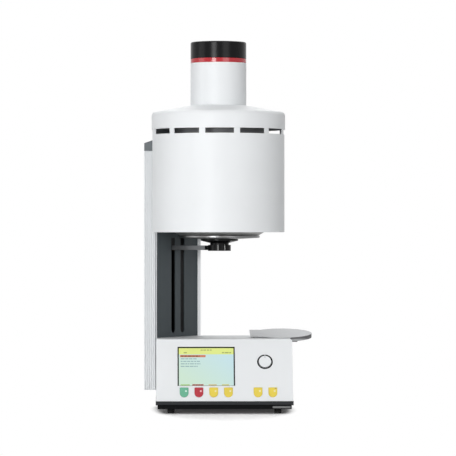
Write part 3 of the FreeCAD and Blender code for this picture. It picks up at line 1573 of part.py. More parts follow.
def make_tray():
    """A round plate with a straight tab over the base and a rim folded down beside it."""
    tray = tray_body("tray_plate")
    rim_start = base_half - tray_x + tray_side_gap
    pad(tray, circles(tray, "XY", [(0, 0, tray_radius)], -tray_wall), tray_rim - tray_wall, backwards=True)
    inner = circles(tray, "XY", [(0, 0, tray_radius - tray_wall)], -tray_wall)
    pocket(tray, inner, tray_rim)
    beside = rectangle(tray, "XY", -tray_radius - 1, rim_start, -tray_radius - 1, tray_radius + 1, -tray_wall)
    pocket(tray, beside, tray_rim)
    pad(tray, circles(tray, "XY", [(0, 0, tray_radius)]), tray_wall, backwards=True)
    pad(tray, rectangle(tray, "XY", -tab_reach, -tab_half / 2, -tab_half, tab_half), tray_wall, backwards=True)
    post_x = post_from_edge - tab_reach
    slot = rectangle(tray, "XY", post_x + 7, post_x + 22, -1.5, 1.5)
    pocket(tray, slot, tray_wall * 2)


def tray_underside(y):
    """Height of the tray's underside above a depth measured from the tray's middle."""
    slope = sine(tray_tilt) / cosine(tray_tilt)
    return tray_z - tray_wall / cosine(tray_tilt) + slope * y


def make_tray_supports():
    half = tray_bracket_length / 2
    low = base_top_z - tray_bracket_drop
    bracket = body("tray_bracket", base_right, front_y + tray_depth, 0)
    side = [(-half, low), (half, low), (half, tray_underside(half)), (-half, tray_underside(-half))]
    pad(bracket, polygon(bracket, "YZ", side), tray_bracket_reach)

    post_x = base_mid_x + tray_x - tab_reach + post_from_edge
    post = body("tray_post", post_x, front_y + tray_depth, base_top_z)
    pad(post, circles(post, "XY", [(0, 0, post_radius)]), tray_underside(post_radius) - base_top_z)
    slope = [
        (-post_radius - 1, tray_underside(-post_radius - 1) - base_top_z),
        (post_radius + 1, tray_underside(post_radius + 1) - base_top_z),
        (post_radius + 1, tray_z - base_top_z + 4),
        (-post_radius - 1, tray_z - base_top_z + 4),
    ]
    pocket(post, polygon(post, "YZ", slope, -post_radius - 1), post_radius * 3, along_normal=True)


def make_thermocouple():
    """A sheathed probe through the insulation, from the can to the muffle's wall."""
    start = muffle_inner + muffle_wall + coil_gap * 2 + coil_width
    length = can_radius + 6 - start
    probe = body("thermocouple", axis_x, axis_y, probe_z)
    outline = circles(probe, "YZ", [(0, 0, probe_radius)], start)
    pad(probe, outline, length)


make_plinth()
make_plinth_strip()
make_feet()
make_base_housing()
make_front_panel()
make_display()
for key_label, key_number in KEYS:
    make_key(key_label, key_number)
make_control_board()
make_dial()
make_power_supply()
make_lift_motor()
make_rear_panel()
make_inlet()
make_vacuum_nipple()
make_column_profile()
make_column_housing()
make_column_cover()
make_column_cap()
make_column_inside()
make_lift_screw()
make_carriage()
make_fork()
make_hub()
make_lift_plate()
make_head_carrier()
make_chamber()
make_hood_shell()
make_hood_cover()
make_press_tube()
make_press()
make_thermocouple()
make_tray()
make_tray_supports()


# Check and write

def check_model():
    doc.recompute()
    for item in doc.Objects:
        if "Invalid" in item.State or "Error" in item.State:
            raise RuntimeError(f"{item.Name} ({item.Label}) failed: {item.State}")
        if item.TypeId == "PartDesign::Pocket":
            before = item.BaseFeature.Shape.Volume
            if before - item.Shape.Volume < 1e-6:
                raise RuntimeError(f"{item.Name} in {item.getParentGeoFeatureGroup().Label} cuts nothing")
    for part in nodes:
        if part.Shape.isNull() or not part.Shape.isValid():
            raise RuntimeError(f"{part.Label} has no valid shape")


def write_parts():
    os.makedirs("parts", exist_ok=True)
    for part in nodes:
        part.Shape.exportStep(f"parts/{part.Label}.step")


check_model()
write_parts()
print(len(nodes), "nodes written")
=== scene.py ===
import json
import math
import random

import bpy
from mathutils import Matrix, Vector


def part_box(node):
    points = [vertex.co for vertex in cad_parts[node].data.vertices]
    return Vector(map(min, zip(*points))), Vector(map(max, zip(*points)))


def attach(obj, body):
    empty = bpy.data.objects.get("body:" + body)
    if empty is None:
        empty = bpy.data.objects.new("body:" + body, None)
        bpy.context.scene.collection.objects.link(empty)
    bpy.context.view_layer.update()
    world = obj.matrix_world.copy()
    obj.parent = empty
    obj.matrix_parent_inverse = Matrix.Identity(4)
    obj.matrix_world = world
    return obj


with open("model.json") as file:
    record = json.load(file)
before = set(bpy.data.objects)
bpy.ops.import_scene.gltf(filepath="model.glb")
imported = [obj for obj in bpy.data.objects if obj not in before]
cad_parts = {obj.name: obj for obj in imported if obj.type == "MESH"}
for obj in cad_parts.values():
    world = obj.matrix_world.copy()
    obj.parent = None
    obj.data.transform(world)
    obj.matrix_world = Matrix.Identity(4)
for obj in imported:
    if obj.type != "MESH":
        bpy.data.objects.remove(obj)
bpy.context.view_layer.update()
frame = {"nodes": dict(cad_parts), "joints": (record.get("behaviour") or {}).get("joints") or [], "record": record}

bl_info = {
    "name": "Dental press furnace",
    "version": (1, 0, 0),
    "blender": (4, 5, 0),
    "location": "3D View > Sidebar > Furnace",
    "description": "Finishes, screen picture and small fittings for the press furnace's solids",
    "category": "Object",
}

MM = 0.001


# Sizes and colours

class FurnaceSizes(bpy.types.PropertyGroup):
    """Sizes and colours that a user of the furnace would change."""

    window_radius: bpy.props.FloatProperty(
        name="Key window radius",
        description="Radius of the light window in each key",
        default=2.2 * MM,
        unit="LENGTH",
    )
    window_right: bpy.props.FloatProperty(
        name="Key window right",
        description="Window's place, right of the key's middle",
        default=3.9 * MM,
        unit="LENGTH",
    )
    window_up: bpy.props.FloatProperty(
        name="Key window up",
        description="Window's place, above the key's middle",
        default=2.4 * MM,
        unit="LENGTH",
    )
    line_height: bpy.props.FloatProperty(
        name="Text height",
        description="Height of a line on the screen",
        default=2.4 * MM,
        unit="LENGTH",
    )
    ink_depth: bpy.props.FloatProperty(
        name="Picture depth",
        description="Thickness of the picture's pieces",
        default=0.05 * MM,
        unit="LENGTH",
    )
    border_side: bpy.props.FloatProperty(
        name="Side border",
        description="From the bezel's edge to the picture",
        default=3.7 * MM,
        unit="LENGTH",
    )
    border_top: bpy.props.FloatProperty(
        name="Top border",
        description="From the bezel's top to the picture",
        default=2.8 * MM,
        unit="LENGTH",
    )
    border_low: bpy.props.FloatProperty(
        name="Low border",
        description="From the bezel's foot to the picture",
        default=1.9 * MM,
        unit="LENGTH",
    )
    header_share: bpy.props.FloatProperty(
        name="Header share",
        description="Share of the picture's height that the header takes",
        default=0.165,
        min=0,
        max=1,
    )
    band_width: bpy.props.FloatProperty(
        name="Dial band",
        description="Width of the black band round the dial's edge",
        default=0.8 * MM,
        unit="LENGTH",
    )
    pin_radius: bpy.props.FloatProperty(
        name="Hub pin radius",
        description="Radius of a dowel pin in the hub",
        default=0.7 * MM,
        unit="LENGTH",
    )
    pin_circle: bpy.props.FloatProperty(
        name="Hub pin circle",
        description="From the lift plate's axis to a pin's axis",
        default=24.2 * MM,
        unit="LENGTH",
    )
    screw_radius: bpy.props.FloatProperty(
        name="Screw head radius",
        description="Radius of a cover screw's head",
        default=3.0 * MM,
        unit="LENGTH",
    )
    screw_height: bpy.props.FloatProperty(
        name="Screw head height",
        description="Height of a cover screw's head",
        default=1.6 * MM,
        unit="LENGTH",
    )
    paint_color: bpy.props.FloatVectorProperty(
        name="White paint",
        description="Colour of the covers",
        subtype="COLOR",
        size=3,
        default=(0.83, 0.85, 0.865),
    )
    screen_color: bpy.props.FloatVectorProperty(
        name="Screen",
        description="Colour of the lit screen",
        subtype="COLOR",
        size=3,
        default=(0.6, 0.76, 0.74),
    )
    header_color: bpy.props.FloatVectorProperty(
        name="Header",
        description="Colour of the screen's header",
        subtype="COLOR",
        size=3,
        default=(0.72, 0.8, 0.25),
    )


def sizes():
    """The sizes and colours of the scene that is open."""
    return bpy.context.scene.furnace_sizes


# Places read from the frame

def joint(name):
    """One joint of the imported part."""
    return next(item for item in frame["joints"] if item["name"] == name)


PANEL_RIGHT = Vector((1, 0, 0))
PANEL_OUT = -Vector(joint("dial_press")["axis"]).normalized()
PANEL_UP = PANEL_OUT.cross(PANEL_RIGHT)
PANEL_TURN = PANEL_OUT.to_track_quat("Z", "Y").to_euler()
DIAL_CENTRE = Vector(joint("dial_turn")["pos_m"])


def panel_point(x, up, out):
    """A point by its X, its distance up the slope from the dial, and out of the panel."""
    middle = Vector((x, DIAL_CENTRE.y, DIAL_CENTRE.z))
    return middle + PANEL_UP * up + PANEL_OUT * out


def panel_span(node):
    """Low and high corner of a CAD node in the panel's own x, up and out."""
    rows = []
    for vertex in frame["nodes"][node].data.vertices:
        step = vertex.co - DIAL_CENTRE
        rows.append((vertex.co.x, step.dot(PANEL_UP), step.dot(PANEL_OUT)))
    low = [min(row[axis] for row in rows) for axis in range(3)]
    high = [max(row[axis] for row in rows) for axis in range(3)]
    return low, high


def panel_face(node):
    """Middle of a CAD node on the panel, in x and up, and how far out its face stands."""
    low, high = panel_span(node)
    return (low[0] + high[0]) / 2, (low[1] + high[1]) / 2, high[2]


def picture_edges():
    """Left, right, low and top edge of the lit picture on the panel."""
    look = sizes()
    low, high = panel_span("display_bezel")
    return (
        low[0] + look.border_side,
        high[0] - look.border_side,
        low[1] + look.border_low,
        high[1] - look.border_top,
    )


# Node trees

class NodeTree:
    """A node tree under construction, with short ways to add what it needs."""

    def __init__(self, tree):
        self.tree = tree

    def node(self, kind, **values):
        """A new node with these values set on it."""
        made = self.tree.nodes.new(kind)
        for key, value in values.items():
            setattr(made, key, value)
        return made

    def link(self, source, target):
        """Join two sockets."""
        self.tree.links.new(source, target)

    def calculate(self, operation, *terms):
        """A math node over sockets and plain numbers."""
        made = self.node("ShaderNodeMath", operation=operation)
        for slot, term in enumerate(terms):
            if isinstance(term, (int, float)):
                made.inputs[slot].default_value = term
            else:
                self.link(term, made.inputs[slot])
        return made.outputs[0]

    def map_range(self, value, source=(0.0, 1.0), result=(0.0, 1.0), kind="LINEAR"):
        """Carry a value from one range to another, and hold it at the ends."""
        made = self.node("ShaderNodeMapRange", interpolation_type=kind)
        ends = zip(("From Min", "From Max", "To Min", "To Max"), (*source, *result))
        for name, number in ends:
            made.inputs[name].default_value = number
        self.link(value, made.inputs["Value"])
        return made.outputs["Result"]


class Finish(NodeTree):
    """A material under construction."""

    def __init__(self, name):
        self.material = bpy.data.materials.new(name)
        self.material.use_nodes = True
        super().__init__(self.material.node_tree)
        self.shader = self.tree.nodes["Principled BSDF"]

    def set(self, **values):
        """Set the shader's own sockets, named with underscores for spaces."""
        for key, value in values.items():
            self.shader.inputs[key.replace("_", " ")].default_value = value

    def place(self, scale=(1, 1, 1), shift=(0, 0, 0)):
        """Object coordinates, stretched by scale and then moved by shift."""
        mapping = self.node("ShaderNodeMapping")
        mapping.inputs["Scale"].default_value = scale
        mapping.inputs["Location"].default_value = shift
        coordinates = self.node("ShaderNodeTexCoord")
        self.link(coordinates.outputs["Object"], mapping.inputs["Vector"])
        return mapping.outputs["Vector"]

    def axes(self):
        """Object X, Y and Z."""
        split = self.node("ShaderNodeSeparateXYZ")
        self.link(self.place(), split.inputs["Vector"])
        return split.outputs["X"], split.outputs["Y"], split.outputs["Z"]

    def distance(self, vector, point=(0, 0, 0)):
        """How far a vector's end lies from a point."""
        made = self.node("ShaderNodeVectorMath", operation="DISTANCE")
        self.link(vector, made.inputs[0])
        made.inputs[1].default_value = point
        return made.outputs["Value"]

    def within(self, *tests):
        """1 where every test holds. A test is a comparison, a socket and a limit."""
        share, *others = [self.calculate(*test) for test in tests]
        for other in others:
            share = self.calculate("MULTIPLY", share, other)
        return share

    def noise(self, vector, scale, detail=2.0, roughness=0.5):
        """Cloudy noise between 0 and 1."""
        made = self.node("ShaderNodeTexNoise")
        made.inputs["Scale"].default_value = scale
        made.inputs["Detail"].default_value = detail
        made.inputs["Roughness"].default_value = roughness
        self.link(vector, made.inputs["Vector"])
        return made.outputs["Fac"]

    def tint(self, source, stops, socket="Base Color"):
        """Let one of the shader's colours follow source through a ramp."""
        made = self.node("ShaderNodeValToRGB")
        elements = made.color_ramp.elements
        while len(elements) < len(stops):
            elements.new(0.5)
        for element, (position, color) in zip(elements, stops):
            element.position = position
            element.color = (*color, 1.0)
        self.link(source, made.inputs["Fac"])
        self.link(made.outputs["Color"], self.shader.inputs[socket])

    def recolor(self, share, color):
        """Blend the base colour towards another where share rises to 1."""
        target = self.shader.inputs["Base Color"]
        made = self.node("ShaderNodeMix", data_type="RGBA")
        terms = {item.name: item for item in made.inputs if item.type == "RGBA"}
        self.link(share, made.inputs["Factor"])
        self.link(target.links[0].from_socket, terms["A"])
        terms["B"].default_value = (*color, 1.0)
        self.link(next(item for item in made.outputs if item.type == "RGBA"), target)

    def roughen(self, source, low, high):
        """Let the roughness follow source, from low to high."""
        self.link(self.map_range(source, result=(low, high)), self.shader.inputs["Roughness"])

    def bump(self, height, depth, strength, rounding):
        """Emboss the surface by height, and shade its edges as if rounded."""
        edge = self.node("ShaderNodeBevel", samples=4)
        edge.inputs["Radius"].default_value = rounding
        made = self.node("ShaderNodeBump")
        made.inputs["Strength"].default_value = strength
        made.inputs["Distance"].default_value = depth
        self.link(height, made.inputs["Height"])
        self.link(edge.outputs["Normal"], made.inputs["Normal"])
        self.link(made.outputs["Normal"], self.shader.inputs["Normal"])


# Finishes

BRUSH_SCALE = 130 / 3
SCREEN_BLACK = (0.004, 0.004, 0.004, 1.0)
SCREEN_GREENER = (1.0, 1.02, 0.86)
SCREEN_BLUER = (0.93, 0.99, 1.08)


def shade(color, factor):
    """A colour made darker or lighter."""
    return tuple(min(1.0, part * factor) for part in color)


def powder_coat(name, color, roughness=0.42, depth=0.03 * MM, specular=0.5):
    """Satin powder coat: a fine orange peel and a slight change of tone."""
    finish = Finish(name)
    vector = finish.place()
    tone = finish.noise(vector, scale=9, detail=3)
    finish.tint(tone, [(0.3, shade(color, 0.985)), (0.7, shade(color, 1.01))])
    sheen = finish.noise(vector, scale=60, detail=3)
    finish.roughen(sheen, roughness - 0.04, roughness + 0.04)
    peel = finish.noise(vector, scale=900)
    finish.bump(peel, depth, strength=0.6, rounding=0.7 * MM)
    finish.set(Specular_IOR_Level=specular)
    return finish


def brushed_metal(name, color, stretch, roughness, metallic=1.0):
    """Metal with fine lines drawn along the axes that stretch leaves at 1."""
    finish = Finish(name)
    lines = finish.noise(finish.place(stretch), BRUSH_SCALE, detail=6, roughness=0.65)
    finish.tint(lines, [(0.25, shade(color, 0.9)), (0.75, shade(color, 1.08))])
    finish.roughen(lines, roughness - 0.08, roughness + 0.1)
    finish.bump(lines, 0.01 * MM, strength=0.5, rounding=0.5 * MM)
    finish.set(Metallic=metallic)
    return finish


def turned_metal(name, color, roughness, metallic=1.0, specular=0.5):
    """Turned or ground metal: rings of tool marks round an upright axis."""
    finish = Finish(name)
    marks = finish.noise(finish.place((1, 1, 40)), scale=60, detail=4)
    finish.tint(marks, [(0.3, shade(color, 0.93)), (0.7, shade(color, 1.05))])
    finish.roughen(marks, roughness - 0.06, roughness + 0.08)
    finish.bump(marks, 0.01 * MM, strength=0.4, rounding=0.4 * MM)
    finish.set(Metallic=metallic, Specular_IOR_Level=specular)
    return finish


def moulded_plastic(name, color, roughness, depth=0.02 * MM, specular=0.5):
    """Plastic with a fine moulded texture."""
    finish = Finish(name)
    vector = finish.place()
    tone = finish.noise(vector, scale=30)
    finish.tint(tone, [(0.3, shade(color, 0.96)), (0.7, shade(color, 1.05))])
    cells = finish.noise(vector, scale=1500)
    finish.roughen(cells, roughness - 0.05, roughness + 0.05)
    finish.bump(cells, depth, strength=0.5, rounding=0.4 * MM)
    finish.set(Specular_IOR_Level=specular)
    return finish


def fired_clay(name, color, roughness=0.75, grain=700, depth=0.08 * MM):
    """Fired or pressed ceramic with pores and pale speckle."""
    finish = Finish(name)
    pores = finish.noise(finish.place(), scale=grain, detail=6, roughness=0.7)
    finish.tint(pores, [(0.3, shade(color, 0.86)), (0.5, color), (0.72, shade(color, 1.08))])
    finish.roughen(pores, roughness - 0.1, roughness + 0.1)
    finish.bump(pores, depth, strength=0.8, rounding=0.6 * MM)
    return finish


def milky_quartz():
    """Cloudy quartz with upright streaks."""
    finish = Finish("quartz")
    streaks = finish.noise(finish.place((1, 1, 0.15)), scale=160, detail=4)
    finish.tint(streaks, [(0.3, (0.7, 0.73, 0.75)), (0.7, (0.86, 0.88, 0.89))])
    finish.bump(streaks, 0.05 * MM, strength=0.3, rounding=0.5 * MM)
    finish.set(Roughness=0.22)
    return finish


def key_plastic(name, color, glow):
    """A key of coloured plastic, with a faint emission that paints extra light onto it."""
    finish = moulded_plastic(name, color, roughness=0.34, depth=0.01 * MM)
    finish.set(Emission_Color=(*color, 1.0), Emission_Strength=glow)
    return finish


def dark_glass(name):
    """The black glass that the screen's light comes through."""
    finish = Finish(name)
    finish.set(Base_Color=SCREEN_BLACK, Roughness=0.3, Specular_IOR_Level=0.2)
    return finish


def lit_picture(name, color, strength=1.0):
    """A lit part of a display, with the slight cloudiness of a back-lit panel."""
    finish = dark_glass(name)
    cloud = finish.noise(finish.place(), scale=14)
    stops = [(0.35, shade(color, 0.97)), (0.65, shade(color, 1.03))]
    finish.tint(cloud, stops, "Emission Color")
    finish.set(Emission_Strength=strength)
    return finish


def screen_body(color):
    """The screen's ground: bluish at the upper right and greener at the lower left."""
    finish = dark_glass("screen_ground")
    low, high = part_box("display_module")
    x, _, z = finish.axes()
    across = finish.map_range(x, (low.x, high.x))
    upward = finish.map_range(z, (low.z, high.z))
    slant = finish.calculate("MULTIPLY", finish.calculate("ADD", across, upward), 0.5)
    green = tuple(part * factor for part, factor in zip(color, SCREEN_GREENER))
    blue = tuple(part * factor for part, factor in zip(color, SCREEN_BLUER))
    finish.tint(slant, [(0.2, green), (0.8, blue)], "Emission Color")
    left, right, _, top = picture_edges()
    highest = panel_point(0, top, panel_face("display_module")[2]).z
    lit = finish.within(
        ("GREATER_THAN", x, left), ("LESS_THAN", x, right), ("LESS_THAN", z, highest)
    )
    finish.link(lit, finish.shader.inputs["Emission Strength"])
    return finish


def paint_with_shaded_inside(color, inner_shade):
    """White outside, with painted shade on the inner faces of the column's housing: a dark colour standing in for
    the shadow inside.
    """
    finish = powder_coat("housing_paint_shaded_inside", color)
    low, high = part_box("column_housing")
    x, y, _ = finish.axes()
    skin = 1.2 * MM
    cover_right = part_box("column_cover")[1].x - 0.5 * MM
    inside = finish.within(
        ("LESS_THAN", y, high.y - skin),
        ("GREATER_THAN", x, low.x + skin),
        ("LESS_THAN", x, cover_right),
    )
    # Painted shade: the inner faces are darkened where the housing's inside lies in shadow.
    finish.recolor(inside, inner_shade)
    return finish


def pan_paint():
    """The foot pan: a dark grey band at its upper edge and black below."""
    finish = powder_coat("pan_paint", (0.004, 0.004, 0.005), roughness=0.55, specular=0.06)
    band_height = 7.2 * MM
    _, _, z = finish.axes()
    band = finish.within(("GREATER_THAN", z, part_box("base_pan")[1].z - band_height))
    finish.recolor(band, (0.036, 0.037, 0.041))
    return finish


def tray_steel_with_shaded_rim():
    """The tray's satin sheet, with painted shade darkening its rim where it hangs past the base."""
    finish = brushed_metal(
        "tray_steel", (0.45, 0.46, 0.47), stretch=(1, 30, 30), roughness=0.55, metallic=0.25
    )
    low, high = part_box("tray_plate")
    radius = (high.y - low.y) / 2
    middle = Vector((high.x - radius, (low.y + high.y) / 2, 0))
    distance = finish.distance(finish.place((1, 1, 0)), middle)
    rim = finish.map_range(distance, (radius - 0.7 * MM, radius - 0.4 * MM), kind="SMOOTHSTEP")
    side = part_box("base_housing")[1].x
    x, _, _ = finish.axes()
    hanging = finish.map_range(x, (side - 2 * MM, side + 2 * MM), kind="SMOOTHSTEP")
    # Painted shade: the rim turns dark where it hangs past the base's side.
    finish.recolor(finish.calculate("MULTIPLY", rim, hanging), (0.14, 0.14, 0.145))
    return finish


def make_finishes():
    """Every finish of the furnace, by the record's slot name or by its own."""
    look = sizes()
    white = tuple(look.paint_color)
    along_x, along_z, round_z = (1, 45, 45), (30, 30, 1), (1, 1, 45)
    made = {
        "white_paint": powder_coat("white_paint", white, roughness=0.48),
        "dark_paint": powder_coat(
            "dark_paint", (0.014, 0.014, 0.017), roughness=0.5, specular=0.12
        ),
        "column_paint": powder_coat(
            "column_paint", (0.072, 0.088, 0.096), roughness=0.55, specular=0.2
        ),
        "cap_paint": powder_coat("cap_paint", (0.15, 0.168, 0.18), roughness=0.5, specular=0.3),
        "red_paint": powder_coat(
            "red_paint", (0.48, 0.016, 0.026), roughness=0.13, depth=0.003 * MM, specular=0.45
        ),
        "black_paint": powder_coat(
            "black_paint", (0.005, 0.005, 0.0055), roughness=0.24, depth=0.004 * MM, specular=0.12
        ),
        "profile_paint": powder_coat("profile_paint", (0.8, 0.82, 0.835), roughness=0.45),
        "dial_paint": powder_coat("dial_paint", white, roughness=0.38),
        # White housing paint with painted shade on its inner faces.
        "housing_paint_shaded_inside": paint_with_shaded_inside(white, inner_shade=(0.045, 0.05, 0.054)),
        "pan_paint": pan_paint(),
        "brushed_steel": brushed_metal("brushed_steel", (0.42, 0.42, 0.415), along_x, 0.45),
        "tray_steel": tray_steel_with_shaded_rim(),
        "bracket_steel": brushed_metal(
            "bracket_steel", (0.16, 0.162, 0.166), along_x, roughness=0.5, metallic=0.3
        ),
        "heat_tinted_steel": brushed_metal(
            "heat_tinted_steel", (0.27, 0.275, 0.285), round_z, roughness=0.6, metallic=0.5
        ),
        # Black-oxide steel for the guide rods and lift screw; its dark colour also stands in for the shade inside
        # the column's slots.
        "blackened_steel": turned_metal(
            "blackened_steel", (0.012, 0.0125, 0.014), roughness=0.4, metallic=0.4, specular=0.15
        ),
        "ground_steel": turned_metal("ground_steel", (0.68, 0.69, 0.7), roughness=0.16),
        "machined_aluminium": brushed_metal(
            "machined_aluminium", (0.14, 0.145, 0.15), along_z, roughness=0.4
        ),
        "polished_aluminium": turned_metal(
            "polished_aluminium", (0.22, 0.222, 0.225), roughness=0.3
        ),
        "strip_aluminium": turned_metal("strip_aluminium", (0.16, 0.162, 0.165), roughness=0.34),
        "black_anodising": brushed_metal(
            "black_anodising", (0.018, 0.019, 0.021), along_z, roughness=0.5, metallic=0.3
        ),
        "brass": turned_metal("brass", (0.72, 0.5, 0.2), roughness=0.28),
        "oiled_bronze": turned_metal("oiled_bronze", (0.07, 0.045, 0.025), roughness=0.5),
        "coil_alloy": turned_metal("coil_alloy", (0.2, 0.17, 0.15), roughness=0.55),
        "rubber": moulded_plastic(
            "rubber", (0.012, 0.012, 0.012), roughness=0.75, depth=0.05 * MM, specular=0.3
        ),
        "seal_rubber": moulded_plastic(
            "seal_rubber", (0.33, 0.05, 0.03), roughness=0.6, depth=0.03 * MM
        ),
        "black_plastic": moulded_plastic(
            "black_plastic", (0.011, 0.011, 0.012), roughness=0.6, specular=0.12
        ),
        "switch_plastic": moulded_plastic("switch_plastic", (0.02, 0.02, 0.022), roughness=0.25),
        "board_laminate": moulded_plastic("board_laminate", (0.02, 0.16, 0.07), roughness=0.35),
        "screen_glass": screen_body(tuple(look.screen_color)),
        # The keys' faint glow is painted light.
        "green_key": key_plastic("green_key", (0.13, 0.42, 0.27), glow=0.08),
        "red_key": key_plastic("red_key", (0.42, 0.025, 0.04), glow=0.08),
        "yellow_key": key_plastic("yellow_key", (0.74, 0.58, 0.07), glow=0.1),
        "fibre_ceramic": fired_clay(
            "fibre_ceramic", (0.82, 0.8, 0.74), roughness=0.9, grain=420, depth=0.2 * MM
        ),
        "quartz_ceramic": milky_quartz(),
        "fired_ceramic": fired_clay("fired_ceramic", (0.78, 0.73, 0.63)),
        "alumina": fired_clay(
            "alumina", (0.84, 0.82, 0.76), roughness=0.6, grain=1100, depth=0.03 * MM
        ),
    }
    return {name: finish.material for name, finish in made.items()}


# Nodes whose finish isn't the one of their slot
NODE_FINISHES = {
    "chamber_can": "heat_tinted_steel",
    "lift_carriage": "black_anodising",
    "carriage_bushes": "oiled_bronze",
    "plinth_strip": "strip_aluminium",
    "column_housing": "housing_paint_shaded_inside",
    "base_pan": "pan_paint",
    "tray_bracket": "bracket_steel",
}
# Materials by the names in make_finishes, filled when the solids are dressed
FINISHES = {}


# Mesh helpers

def start_mesh():
    """Back to object mode, with nothing selected."""
    if bpy.context.object is not None and bpy.context.object.mode == "EDIT":
        bpy.ops.object.mode_set(mode="OBJECT")
    bpy.ops.object.select_all(action="DESELECT")


def select_only(*pieces):
    """Select these pieces alone, the first of them active."""
    start_mesh()
    for piece in pieces:
        piece.select_set(True)
    bpy.context.view_layer.objects.active = pieces[0]


def dress(piece, material):
    """Give a piece this material and no other."""
    piece.data.materials.clear()
    piece.data.materials.append(material)


def finish_piece(piece, name, material, body, smooth=None):
    """Name a piece, freeze its place in its mesh, and hang it on its CAD body.

    Edges up to the angle smooth, in degrees, are shaded smooth.
    """
    select_only(piece)
    bpy.ops.object.transform_apply(location=True, rotation=True, scale=True)
    if smooth is not None:
        bpy.ops.object.shade_smooth_by_angle(angle=math.radians(smooth))
    piece.name = name
    piece.data.name = name
    dress(piece, material)
    piece.select_set(False)
    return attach(piece, body)


def join(pieces):
    """One piece made of all of these."""
    if len(pieces) > 1:
        select_only(*pieces)
        bpy.ops.object.join()
    return pieces[0]


def bevel_edges(piece, width, segments):
    """Bevel a piece's sharp edges, in a modifier that is still to be applied."""
    bevel = piece.modifiers.new("rounding", "BEVEL")
    bevel.width = width
    bevel.segments = segments
    bevel.limit_method = "ANGLE"


def apply_modifiers(piece):
    """Apply a piece's modifiers in their order."""
    bpy.context.view_layer.objects.active = piece
    for modifier in list(piece.modifiers):
        bpy.ops.object.modifier_apply(modifier=modifier.name)
    return piece


def cylinder(vertices, radius, depth, place=(0, 0, 0), turn=(0, 0, 0), ends="NGON"):
    """A plain cylinder, still to be shaped."""
    start_mesh()
    bpy.ops.mesh.primitive_cylinder_add(
        vertices=vertices,
        radius=radius,
        depth=depth,
        end_fill_type=ends,
        location=place,
        rotation=turn,
    )
    return bpy.context.object


def printed_tile(x, up, out, width, height, depth):
    """One thin tile that lies on the panel, with its corners rounded."""
    start_mesh()
    rounding = 0.12
    middle = panel_point(x, up, out + depth / 2)
    bpy.ops.mesh.primitive_cube_add(size=1, location=middle, rotation=PANEL_TURN)
    tile = bpy.context.object
    tile.scale = (width, height, depth)
    bpy.ops.object.transform_apply(location=False, rotation=False, scale=True)
    bevel_edges(tile, min(height, width) * rounding, segments=2)
    return apply_modifiers(tile)


# Operators

class DressSolids(bpy.types.Operator):
    """Give every CAD node its finish"""

    bl_idname = "furnace.dress_solids"
    bl_label = "Dress the solids"

    def execute(self, context):
        FINISHES.update(make_finishes())
        for row in frame["record"]["subparts"]:
            finish = NODE_FINISHES.get(row["node"], row["material_slot"])
            dress(frame["nodes"][row["node"]], FINISHES[finish])
        return {"FINISHED"}


# Layout of the screen. Starts and lengths are shares of the picture's width, heights and
# drops are shares of its height, and text sizes are shares of the height of a line.
WORD_MILLIMETRES = (3.0, 8.5)
WORD_GAP = 1.3 * MM
WORD_LEAST = 1.2 * MM
# Start, length, drop as a share of the header's height, text size and random seed
TITLE_TEXTS = ((0.4, 0.2, 0.32, 0.8, 3), (0.09, 0.06, 0.74, 1.0, 5), (0.79, 0.17, 0.74, 1.0, 8))
TITLE_INK = (0.33, 0.37, 0.12)
CHOICE_DROP = 0.212
CHOICE_BAR = {"start": 0.02, "length": 0.47, "share": 0.058}
CHOICE_TEXT = {"start": 0.04, "length": 0.34, "size": 1.0, "seed": 11}
CHOICE_COLOR = (0.62, 0.2, 0.11)
CHOICE_INK = (0.16, 0.09, 0.05)
MENU_START = 0.035
MENU_LENGTHS = (0.29, 0.35, 0.36, 0.31)
MENU_DROP = 0.072
MENU_PITCH = 0.066
MENU_SIZE = 0.75
MENU_SEED = 20
MENU_INK = (0.24, 0.37, 0.4)
LABEL_UP = 0.03
LABEL_HEIGHT = 0.034
# Start, length and colour of the label over each key
LABELS = (
    (0.033, 0.165, (0.38, 0.58, 0.24)),
    (0.245, 0.205, (0.55, 0.15, 0.1)),
    (0.54, 0.15, (0.6, 0.52, 0.28)),
    (0.785, 0.13, (0.6, 0.6, 0.24)),
)
LABEL_TEXT = {"start": 0.25, "length": 0.19, "size": 0.7, "seed": 41}
LABEL_INK = (0.14, 0.05, 0.04)


